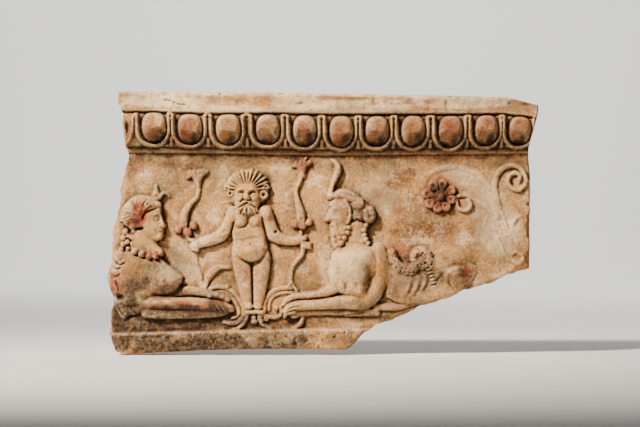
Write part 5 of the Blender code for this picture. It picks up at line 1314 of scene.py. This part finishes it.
def plaque_mesh(clay):
    """A closed shell: relief in front, broken and moulded walls, hand-smoothed back."""
    columns = int(PLAQUE_WIDTH / GRID_STEP)
    rows = int(PLAQUE_HEIGHT / GRID_STEP)
    x, z = sheet(columns, rows)
    depth = SLAB + clay.read(clay.h, x, z) - edge_round(x, z)
    shape = (rows + 1, columns + 1)
    front = np.arange(x.size).reshape(shape)
    points = [np.column_stack([x.ravel(), -depth.ravel(), z.ravel()])]
    rim = np.array(rim_of(columns, rows))
    rim_x = x[rim[:, 0], rim[:, 1]]
    rim_z = z[rim[:, 0], rim[:, 1]]
    rim_y = -depth[rim[:, 0], rim[:, 1]]
    inward = np.stack([-(np.roll(rim_z, -3) - np.roll(rim_z, 3)), np.roll(rim_x, -3) - np.roll(rim_x, 3)])
    inward /= np.hypot(*inward)
    faces = [grid_faces(front, True)]
    ring = front[rim[:, 0], rim[:, 1]]
    length = np.cumsum(np.full(len(rim), GRID_STEP)) % (2 * SHEET_X) - SHEET_X
    for k in range(1, WALL_STEPS + 1):
        share = k / WALL_STEPS
        level = np.full(len(rim), WALL_STRETCH * share)
        rough = 1.1 * fractal(length, level, 9, 92) + 0.35 * fractal(length, level, 2.4, 93, octaves=2)
        inset = BACK_CHAMFER * share**4 + np.sin(math.pi * min(share, 0.9)) * (0.9 + rough)
        new = np.arange(len(rim)) + sum(map(len, points))
        across = rim_x + inset * inward[0]
        up = rim_z + inset * inward[1]
        points.append(np.column_stack([across, rim_y * (1 - share), up]))
        faces.append(np.column_stack([ring, new, np.roll(new, -1), np.roll(ring, -1)]))
        ring = new
    back = np.zeros(shape, int)
    back[rim[:, 0], rim[:, 1]] = ring
    inner = (rows - 1) * (columns - 1)
    back[1:-1, 1:-1] = np.arange(inner).reshape(rows - 1, columns - 1) + sum(map(len, points))
    inner_x = x[1:-1, 1:-1].ravel() * (1 - 2 * BACK_CHAMFER / PLAQUE_WIDTH)
    inner_z = z[1:-1, 1:-1].ravel() * (1 - 2 * BACK_CHAMFER / PLAQUE_HEIGHT)
    fine = fractal(inner_x, inner_z, 4, 96, octaves=2)
    hollow = 0.5 + 0.4 * mottle(inner_x, inner_z * 2.5, 30, 95) + 0.12 * fine
    points.append(np.column_stack([inner_x, -np.maximum(hollow, 0), inner_z]))
    faces.append(grid_faces(back, False))
    mesh = bpy.data.meshes.new("plaque shell")
    mesh.from_pydata((np.vstack(points) * MM).tolist(), [], np.vstack(faces).tolist())
    mesh.update()
    return mesh


def thinned(mesh):
    """The shell with fewer triangles where the clay is plain, as a finished object."""
    shell_object = bpy.data.objects.new("shell", mesh)
    bpy.context.scene.collection.objects.link(shell_object)
    thin = shell_object.modifiers.new("thin", "DECIMATE")
    thin.ratio = TRIANGLES / (2 * len(mesh.polygons))
    thin.use_collapse_triangulate = True
    evaluated = shell_object.evaluated_get(bpy.context.evaluated_depsgraph_get())
    piece = bpy.data.objects.new("relief_plaque", bpy.data.meshes.new_from_object(evaluated))
    bpy.data.objects.remove(shell_object)
    bpy.context.scene.collection.objects.link(piece)
    piece.data.shade_smooth()
    return piece


# The dirt colour also serves for painted shade in some dabs and in the hollows.
PAINTS = {
    "pink": "8E4530", "red": "8C2A12", "ochre": "B07014", "stain_and_shade": "5E2E0C",
    "grey": "6A6046", "soil_and_shade": "1E1007", "slip_and_highlight": "F6DCAE",
}

# Dabs of paint, stain, slip and dirt, with some painted shade and painted highlights among them, in the
# plaque's millimetres: x, z, half sizes, strength and, if turned, degrees
DABS = {
    "pink": [
        (-168, 90, 12, 9, 0.5), (-133, 92, 13, 14, 0.9), (-94, 90, 12, 10, 0.35), (-55, 92, 12, 12, 0.45),
        (-18, 90, 12, 12, 0.85), (18, 90, 12, 14, 0.8), (54, 92, 12, 13, 0.75), (90, 92, 12, 14, 0.9),
        (127, 92, 13, 15, 1), (163, 93, 12, 15, 0.85), (196, 92, 12, 14, 0.8), (118, 27, 21, 20, 1),
        (-144, -6, 6, 6, 1), (-135, -9, 6, 6, 1), (-129, -2, 6, 6, 1), (-27, -1, 7, 6, 0.9),
        (-19, -3, 7, 6, 0.9), (-12, 0, 6, 5, 0.9), (-125, 49, 14, 9, 0.55), (-20, 58, 13, 10, 0.8),
        (-168, -32, 11, 5, 0.9, -6), (85, -34, 26, 16, 0.5), (-206, -60, 9, 14, 1),
        (-100, -82, 16, 9, 0.7, -20), (152, 20, 10, 8, 0.3), (-160, -73, 12, 6, 0.7),
        (-194, 90, 6, 20, 0.6), (116, 29, 16, 15, 1.7), (-134, -84, 46, 8, 1.1, -3),
        (196, 121, 12, 4, 0.7, -8), (6, 125, 14, 3, 0.7), (86, 122, 12, 4, 0.8, -10),
        (108, 121, 10, 3, 0.7), (-56, 122, 18, 5, 0.5), (-188, 62, 14, 7, 0.6), (120, 68, 60, 5, 0.6),
    ],
    "red": [
        (-182, 12, 7, 13, 1.7, 8), (-188, 1, 8, 5, 1.2), (146, -48, 8, 6, 0.8), (-135, 92, 6, 5, 0.35),
        (114, 22, 9, 7, 0.7), (124, 94, 7, 6, 0.4), (-206, -66, 5, 8, 0.6), (-96, -86, 8, 5, 0.5, -20),
        (-162, -72, 7, 4, 0.6), (90, 90, 6, 6, 0.3), (-170, -32, 6, 4, 0.6), (20, 84, 7, 5, 0.35),
        (-157, -58, 3, 3, 0.9), (-168, -70.5, 5, 3, 1), (-206, -84, 5, 6, 0.5), (-198, -52, 3, 6, 0.5),
        (-102, -82, 14, 5, 1, -24), (-108, -85, 8, 4, 0.8), (4, 125.5, 12, 2, 0.2), (84, 122, 9, 4, 0.2),
    ],
    "ochre": [
        (-189, -45, 12, 14, 0.6), (-137, 15, 7, 14, 0.7, -20), (56, -48, 9, 12, 0.9, 10),
        (-76, -27, 18, 16, 0.4), (-187, -51, 4, 11, 1, -16), (-182, -86, 8, 5, 0.6), (-74, 128, 10, 5, 0.9),
        (-62, 122, 12, 6, 0.9), (-172, 98, 9, 12, 0.5), (-96, 98, 9, 9, 0.4), (92, 36, 26, 8, 0.35, -6),
        (-72, 42, 20, 12, 0.35), (128, 100, 10, 6, 0.35), (-196, 40, 9, 12, 0.4),
    ],
    "stain_and_shade": [
        (80, 46, 14, 11, 1.3, 10), (102, -6, 36, 9, 1.2, 4), (84, -2, 12, 8, 0.9), (53, 3, 7, 7, 1),
        (42, 12, 6, 5, 0.8), (-192, 50, 8, 6, 1), (72, 40, 8, 6, 2), (88, 50, 8, 6, 2),
        (84, -56, 26, 10, 0.6, 10), (-150, 44, 30, 18, 0.4), (-152, -30, 8, 6, 0.4),
        # (44, -44) darkens the furrow between the right sphinx's chest and arm: painted shade.
        (140, -44, 22, 10, 0.8, 30), (44, -44, 10, 20, 0.4), (-176, -48, 22, 20, 0.7),
        (-134, -12, 14, 8, 0.3), (-6, -60, 6, 26, 0.5), (148, -52, 22, 12, 0.7, 20), (100, 10, 26, 16, 0.5),
        (62, 20, 20, 16, 0.35), (154, 118, 40, 9, 0.35), (150, 2, 30, 20, 0.4), (-60, 119, 44, 6, 0.35),
        (-40, 70, 60, 7, 0.5), (60, 70, 90, 6, 0.5), (172, -30, 24, 14, 0.3), (118, 28, 18, 17, 0.8),
        (120, 52, 22, 14, 0.35), (-16, -100, 60, 10, 0.25),
    ],
    "soil_and_shade": [
        (-150, -95, 70, 12, 1), (-196, -100, 22, 18, 0.8), (-176, -118, 46, 14, 0.6),
        # (-130, 60) and (40, 62) here, with (120, 77) and the long bands at z 60 to 92 further down, darken
        # the field and egg band under the cornice: dirt and painted shade.
        (-92, -50, 16, 14, 0.35), (-20, -56, 16, 22, 0.3), (-130, 60, 44, 8, 0.4), (40, 62, 60, 10, 0.35),
        (-90, -100, 46, 8, 1.3), (-150, -96, 76, 11, 1.8), (-196, -100, 20, 16, 1.5),
        # (-140, -88), (-134, -84) and (-150, -84) further down darken the underside of the left sphinx's
        # forearm: painted shade with dirt. (-154, -67) darkens the underside of her breast: painted shade.
        (-140, -88, 50, 5, 1, -2), (-134, -84, 44, 4, 1, -4), (-154, -67, 16, 8, 1.7, 15),
        (-192, -62, 11, 7, 0.8), (-175, -58, 6, 6, 0.9), (-192, -86, 20, 12, 1.3),
        (-150, -117, 78, 15, 1.4), (-60, -117, 60, 14, 0.9), (60, -117, 70, 14, 0.5),
        # (46, 6) darkens the right sphinx's bun: painted shade.
        (-40, -98, 60, 6, 0.8), (-178, -70, 26, 9, 0.9), (46, 6, 8, 9, 0.6), (34, 10, 7, 9, 0.6),
        (60, -92, 70, 6, 0.7), (116, 30, 13, 12, 1), (96, -60, 44, 12, 0.7, 20), (120, 77, 60, 4, 1),
        (-104, -84, 14, 6, 1.1, -20), (-186, -44, 16, 12, 0.4), (-186, 2, 4, 3, 1),
        (-176, -66, 18, 9, 0.55), (-206, -90, 12, 20, 0.4), (60, -92, 60, 8, 0.4), (-30, 8, 12, 16, 0.3),
        (-165, -62, 22, 6, 0.5), (-110, -72, 26, 4, 0.6), (-170, 66, 24, 7, 0.8), (-150, 61, 18, 7, 0.6),
        # (44, -46) darkens the furrow between the right sphinx's chest and arm: painted shade.
        (60, -80, 60, 7, 0.35), (44, -46, 8, 16, 0.4), (-59, 43, 8, 10, 0.9, -30), (-180, -26, 5, 6, 0.7),
        # (-202, -73.5) darkens the deep hollow under the left sphinx's folds: painted shade.
        (-202, -73.5, 6, 5, 1), (-40, -112, 50, 8, 0.4), (-190, 60, 14, 9, 0.6), (0, 79, 240, 5, 0.3),
        (0, 92, 240, 22, 0.3), (-120, 64, 90, 8, 0.6), (20, 63, 90, 8, 0.5), (160, 62, 60, 8, 0.5),
        (-140, -97, 90, 9, 1), (-170, -99, 40, 12, 1), (100, -46, 44, 16, 0.45, 12),
        (-170, -54, 30, 20, 0.4), (-136, -70, 40, 5, 0.6), (-150, -84, 60, 4, 1, -2),
        (-30, -96, 60, 7, 0.5), (-206, -112, 10, 16, 0.9), (-196, 20, 12, 50, 0.3),
    # The rows added for each egg darken its lower right side and its foot, away from the light: painted
    # shade.
    ] + [(x + 9, z - 10, 8, 9, 1.3) for x, z, *_ in EGGS]
    + [(x + 2, z - 13, 10, 5, 0.8) for x, z, *_ in EGGS],
    "slip_and_highlight": [
        (140, 48, 26, 10, 0.6, -20), (178, -8, 24, 26, 0.7), (164, 24, 20, 22, 0.5, -30),
        # (-140, -73) lightens the top of the left sphinx's forearm: painted highlight.
        (12, -46, 16, 24, 0.5), (-120, -24, 22, 16, 0.4), (-140, -73, 34, 2, 0.7, -3),
        (-20, 116, 90, 8, 0.4), (-140, -50, 20, 10, 0.3), (60, 30, 18, 20, 0.3), (90, -58, 30, 10, 0.25),
        (-172, -96, 12, 6, 0.4), (-178, -118, 14, 6, 0.35), (-150, 121, 40, 8, 0.7), (-90, 114, 50, 5, 0.6),
        (-30, 122, 40, 7, 0.7), (40, 116, 46, 6, 0.5), (-180, -98, 6, 6, 0.9), (-157, -45, 9, 6, 0.8, -30),
        # (-160, -109.5) lightens the top edge of the base band: painted highlight.
        (-160, -109.5, 46, 1.6, 0.8, 2), (-112, 6, 5, 5, 0.5), (-160, 122, 36, 7, 1.2),
        (-10, 118, 44, 6, 1), (140, 120, 50, 6, 1), (60, 118, 30, 6, 0.9), (-110, 114, 60, 4, 1),
        # The thin strips from here along z 125 to 130 lighten the plaque's top edge: painted highlight and
        # pale chips.
        (96, 125, 14, 2.4, 1.6), (40, 128, 40, 2, 1.4), (-120, 129.6, 70, 2, 1.4), (-20, 128.6, 50, 2, 1.4),
        (140, 125.4, 60, 2.2, 1.4, -2), (30, -42, 20, 20, 0.6), (128, -46, 9, 3, 0.8, 10),
    ],
    "grey": [
        (-150, 40, 24, 20, 1.2), (-118, 50, 40, 9, 0.9), (-134, 22, 10, 22, 0.9),
        (-148, -40, 14, 20, 0.8, -20), (-60, 50, 30, 10, 0.5), (40, 54, 60, 9, 0.7), (150, 30, 24, 22, 0.5),
        (-90, -16, 24, 10, 0.4), (-60, -60, 14, 20, 0.5), (30, 20, 20, 26, 0.4), (100, -50, 40, 16, 0.4),
        (-182, -46, 24, 22, 0.7),
    ],
}


def brush(clay):
    """Paint, stains, dirt, painted shade and painted highlights as layers over the sheet, ragged at their
    edges.
    """
    for number, (colour, rows) in enumerate(DABS.items()):
        clay.paint[colour] = np.zeros_like(clay.h)
        t = Tool(clay, (0, 0), 1)
        for x, z, rx, rz, *rest in rows:
            t.dab(colour, x, z, DAB_SPREAD * rx, DAB_SPREAD * rz, *rest)
        ragged = 0.9 + 0.5 * fractal(clay.x, clay.z, 9, 120 + number)
        clay.paint[colour] = np.clip(clay.paint[colour] * ragged, 0, 1)


def skin(clay):
    """Where the surface is hollow, weighted towards the side away from the light and the egg band for dirt
    and painted shade, and where it stands proud and has worn.
    """
    near = soften(clay.h, NEAR_REACH / CELL) - clay.h
    wide = soften(clay.h, WIDE_REACH / CELL) - clay.h
    # Cells with higher clay to their upper left, away from the light, and the egg band get more darkening:
    # painted shade.
    lee = np.roll(clay.h, (-LEE_CELLS, LEE_CELLS), axis=(0, 1)) - clay.h
    shaded_side = np.clip(0.3 + 0.5 * lee, 0, 1)
    eggs = between(clay.z, 74, 78) * between(-clay.z, -113, -110)
    clay.paint["hollow"] = np.clip((0.7 * near + 0.45 * wide - 0.08) * (shaded_side + 0.4 * eggs), 0, 1)
    bare = 1 - 0.9 * np.maximum(clay.paint["pink"], clay.paint["red"])
    clay.paint["proud"] = np.clip(-0.9 * near - 0.12 * wide, 0, 1) * bare


def write_masks(piece, clay):
    """Gives the finished mesh its paint, dirt and painted shade, wear and break masks."""
    mesh = piece.data
    co = np.empty(3 * len(mesh.vertices))
    mesh.vertices.foreach_get("co", co)
    x, y, z = co.reshape(-1, 3).T / MM
    front = -(SLAB + clay.read(clay.h, x, z) - edge_round(x, z))
    broken = between(y - front, 0.5, 1.6) * between(-y, 0.4, 1.4)
    chipped = between(edge_round(x, z), 0.7, 2)
    torn = (x < left_edge(z) + 6) | ((x > 0.06 * PLAQUE_WIDTH) & (z < bottom_edge(x) + 6))
    fresh = np.where(torn, 1, MOULDED_WALL) * broken
    rear = between(y, -1.8, -0.9)
    masks = {"broken": np.maximum(fresh, 0.8 * chipped), "torn": broken * torn}
    for name, layer in clay.paint.items():
        masks[name] = clay.read(layer, x, z) * (1 - broken) * (1 - rear)
    for name, values in masks.items():
        attribute = mesh.attributes.new(name, "FLOAT", "POINT")
        attribute.data.foreach_set("value", values.astype(np.float32))


def linear(code):
    """A colour from its sRGB hex code."""
    channels = [int(code[k : k + 2], 16) / 255 for k in (0, 2, 4)]
    return (*[c / 12.92 if c <= 0.04045 else ((c + 0.055) / 1.055) ** 2.4 for c in channels], 1)


def add(tree, kind, sockets, **settings):
    """One node with its settings; each socket takes a value or another node's output."""
    node = tree.nodes.new(kind)
    for name, value in settings.items():
        setattr(node, name, value)
    for name, value in sockets.items():
        if isinstance(value, bpy.types.NodeSocket):
            tree.links.new(value, node.inputs[name])
        else:
            node.inputs[name].default_value = value
    return node


def terracotta():
    """Buff fired clay, cloudy and gritty, with worn paint, iron stains, dirt and painted shade in its
    hollows, and painted highlights along a few edges.
    """
    material = bpy.data.materials.new("fired terracotta")
    material.use_nodes = True
    tree = material.node_tree
    shader = tree.nodes["Principled BSDF"]
    place = add(tree, "ShaderNodeTexCoord", {}).outputs["Object"]

    def noise(size, detail=4, rough=0.6):
        sockets = {"Vector": place, "Scale": 1 / (size * MM), "Detail": detail, "Roughness": rough}
        return add(tree, "ShaderNodeTexNoise", sockets).outputs["Fac"]

    def span(value, low, high, top=1.0):
        sockets = {"Value": value, "From Min": low, "From Max": high, "To Max": top}
        return add(tree, "ShaderNodeMapRange", sockets, interpolation_type="SMOOTHSTEP").outputs["Result"]

    def mask(name):
        return add(tree, "ShaderNodeAttribute", {}, attribute_name=name).outputs["Fac"]

    def times(a, b):
        return add(tree, "ShaderNodeMath", {0: a, 1: b}, operation="MULTIPLY").outputs[0]

    def over(base, code, share):
        sockets = {0: share, MIX_A: base, MIX_B: linear(code)}
        return add(tree, "ShaderNodeMix", sockets, data_type="RGBA").outputs[MIX_RESULT]

    tone = linear(BUFF)
    for code, size, detail, rough, low, high, strength in CLOUDS:
        tone = over(tone, code, span(noise(size, detail, rough), low, high, strength))
    # The slip coat holds painted highlights too, and the stain coat some painted shade.
    for name, strength in COATS:
        patch = span(noise(3.2, 5, 0.7), 0.28, 0.56, strength)
        tone = over(tone, PAINTS[name], times(mask(name), patch))
    tone = over(tone, SPECKS, span(noise(1.0, 2, 0.6), 0.6, 0.74, 0.5))
    # Soil layer: dirt, with painted shade where its dabs mark shade.
    tone = over(tone, DUST_AND_SHADE, times(mask("soil_and_shade"), span(noise(5, 6, 0.75), 0.15, 0.5, 0.95)))
    tone = over(tone, PAINTS["soil_and_shade"], times(mask("soil_and_shade"), span(noise(3, 6, 0.75), 0.46, 0.66, 0.85)))
    tone = over(tone, WORN, times(mask("proud"), span(noise(2.5), 0.3, 0.7, 0.6)))
    # Hollows darkened, more on the side away from the light and in the egg band: dirt and painted shade.
    tone = over(tone, PAINTS["soil_and_shade"], times(mask("hollow"), span(noise(2.2, 5), 0.1, 0.55, 1.0)))
    tone = over(tone, PITTED, span(noise(1.3, 3, 0.7), 0.57, 0.7, 0.7))
    fresh = over(linear(FRESH), FRESH_PALE, span(noise(5, 6, 0.75), 0.42, 0.62))
    fresh = over(fresh, FRESH_DARK, span(noise(1.6, 4, 0.7), 0.54, 0.66, 0.85))
    fresh = over(fresh, TEMPER, span(mask("grit"), 0.3, 0.5, 0.8))
    sockets = {0: mask("broken"), MIX_A: tone, MIX_B: fresh}
    tone = add(tree, "ShaderNodeMix", sockets, data_type="RGBA").outputs[MIX_RESULT]
    tree.links.new(tone, shader.inputs["Base Color"])
    shader.inputs["Roughness"].default_value = CLAY_ROUGHNESS
    shader.inputs["Specular IOR Level"].default_value = CLAY_SHINE
    sockets = {"Height": noise(3.0, 6, 0.7), "Distance": COARSE_BUMP * MM, "Strength": BUMP_STRENGTH}
    coarse = add(tree, "ShaderNodeBump", sockets).outputs["Normal"]
    sockets = {"Height": noise(0.8, 4, 0.7), "Distance": FINE_BUMP * MM, "Strength": BUMP_STRENGTH}
    fine = add(tree, "ShaderNodeBump", {**sockets, "Normal": coarse}).outputs["Normal"]
    tree.links.new(fine, shader.inputs["Normal"])
    return material


def grit(piece, material):
    """Grains of temper that stand out of the breaks, scattered by a node tree and joined as plain mesh."""
    tree = bpy.data.node_groups.new("grit", "GeometryNodeTree")
    tree.interface.new_socket("Geometry", in_out="INPUT", socket_type="NodeSocketGeometry")
    density = tree.interface.new_socket("Density", in_out="INPUT", socket_type="NodeSocketFloat")
    radius = tree.interface.new_socket("Radius", in_out="INPUT", socket_type="NodeSocketFloat")
    tree.interface.new_socket("Geometry", in_out="OUTPUT", socket_type="NodeSocketGeometry")
    given = tree.nodes.new("NodeGroupInput").outputs

    def chance(kind, low, high, sockets, seed):
        sockets = {sockets[0]: low, sockets[1]: high, "Seed": GRAIN_SEED + seed}
        return add(tree, "FunctionNodeRandomValue", sockets, data_type=kind)

    torn = add(tree, "GeometryNodeInputNamedAttribute", {"Name": "torn"}, data_type="FLOAT").outputs[0]
    sockets = {0: torn, 1: TORN_ENOUGH}
    chosen = add(tree, "FunctionNodeCompare", sockets, data_type="FLOAT", operation="GREATER_THAN")
    sockets = {
        "Mesh": given["Geometry"], "Selection": chosen.outputs[0],
        "Density": given["Density"], "Seed": GRAIN_SEED,
    }
    spots = add(tree, "GeometryNodeDistributePointsOnFaces", sockets).outputs["Points"]
    sockets = {"Radius": given["Radius"], "Subdivisions": 1}
    grain = add(tree, "GeometryNodeMeshIcoSphere", sockets).outputs["Mesh"]
    turn = chance("FLOAT_VECTOR", (0, 0, 0), (math.tau, math.tau, math.tau), (0, 1), 1).outputs[0]
    size = chance("FLOAT", 0.5, 1.5, (2, 3), 2).outputs[1]
    sockets = {"Points": spots, "Instance": grain, "Rotation": turn, "Scale": size}
    grains = add(tree, "GeometryNodeInstanceOnPoints", sockets).outputs["Instances"]
    for name, low, number in (("grit", 0.0, 3), ("broken", 1.0, 4)):
        value = chance("FLOAT", low, 1.0, (2, 3), number).outputs[1]
        sockets = {"Geometry": grains, "Name": name, "Value": value}
        node = add(tree, "GeometryNodeStoreNamedAttribute", sockets, data_type="FLOAT", domain="INSTANCE")
        grains = node.outputs["Geometry"]
    joined = add(tree, "GeometryNodeJoinGeometry", {"Geometry": given["Geometry"]})
    tree.links.new(grains, joined.inputs["Geometry"])
    real = add(tree, "GeometryNodeRealizeInstances", {"Geometry": joined.outputs["Geometry"]})
    sockets = {"Geometry": real.outputs["Geometry"], "Material": material}
    coated = add(tree, "GeometryNodeSetMaterial", sockets).outputs["Geometry"]
    add(tree, "NodeGroupOutput", {"Geometry": coated})
    scatter = piece.modifiers.new("grit", "NODES")
    scatter.node_group = tree
    scatter[density.identifier] = GRAIN_DENSITY
    scatter[radius.identifier] = GRAIN_RADIUS * MM
    evaluated = piece.evaluated_get(bpy.context.evaluated_depsgraph_get())
    mesh = bpy.data.meshes.new_from_object(evaluated)
    piece.modifiers.remove(scatter)
    piece.data = mesh


def plain(name, code, roughness):
    material = bpy.data.materials.new(name)
    material.use_nodes = True
    shader = material.node_tree.nodes["Principled BSDF"]
    shader.inputs["Base Color"].default_value = linear(code)
    shader.inputs["Roughness"].default_value = roughness
    return material


def pale_sweep():
    """A pale floor that curves up into a backdrop, far behind the plaque."""
    low = cad_box[0][2]
    profile = [(SWEEP_NEAR, low)]
    for k in range(SWEEP_STEPS + 1):
        angle = 0.5 * math.pi * k / SWEEP_STEPS
        y = SWEEP_FAR - SWEEP_RADIUS * (1 - math.sin(angle))
        profile.append((y, low + SWEEP_RADIUS * (1 - math.cos(angle))))
    profile.append((SWEEP_FAR, SWEEP_TOP))
    points = [(side * SWEEP_HALF, y, z) for y, z in profile for side in (-1, 1)]
    faces = [(k, k + 1, k + 3, k + 2) for k in range(0, 2 * len(profile) - 2, 2)]
    mesh = bpy.data.meshes.new("sweep")
    mesh.from_pydata(points, [], faces)
    mesh.shade_smooth()
    mesh.materials.append(plain("pale paper", PAPER, PAPER_ROUGHNESS))
    sweep = bpy.data.objects.new("sweep", mesh)
    bpy.context.scene.collection.objects.link(sweep)


def lamp(name, place, aim, size, power, code, spread):
    data = bpy.data.lights.new(name, "AREA")
    data.energy = power
    data.size = size
    data.spread = math.radians(spread)
    data.color = linear(code)[:3]
    light = bpy.data.objects.new(name, data)
    light.location = place
    direction = Vector(aim) - Vector(place)
    light.rotation_euler = direction.to_track_quat("-Z", "Y").to_euler()
    bpy.context.scene.collection.objects.link(light)


def studio():
    """Soft light from the upper left in front, a weak fill, and pale surroundings."""
    world = bpy.data.worlds.new("studio")
    bpy.context.scene.world = world
    world.use_nodes = True
    world.node_tree.nodes["Background"].inputs["Color"].default_value = linear(AIR)
    world.node_tree.nodes["Background"].inputs["Strength"].default_value = AIR_STRENGTH
    for row in LAMPS:
        lamp(*row)


def camera():
    data = bpy.data.cameras.new("camera")
    data.sensor_width = SENSOR
    data.lens = SENSOR * (CAMERA_DISTANCE + VIEW_MIDDLE[1]) / VIEW_WIDTH
    eye = bpy.data.objects.new("camera", data)
    eye.location = (VIEW_MIDDLE[0], -CAMERA_DISTANCE, VIEW_MIDDLE[2])
    eye.rotation_euler = (math.pi / 2, 0, 0)
    bpy.context.scene.collection.objects.link(eye)
    bpy.context.scene.camera = eye


def main():
    clay = relief()
    brush(clay)
    skin(clay)
    piece = thinned(plaque_mesh(clay))
    write_masks(piece, clay)
    clay_body = terracotta()
    piece.data.materials.append(clay_body)
    grit(piece, clay_body)
    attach(piece, "root")
    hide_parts("plaque")
    pale_sweep()
    studio()
    camera()


main()
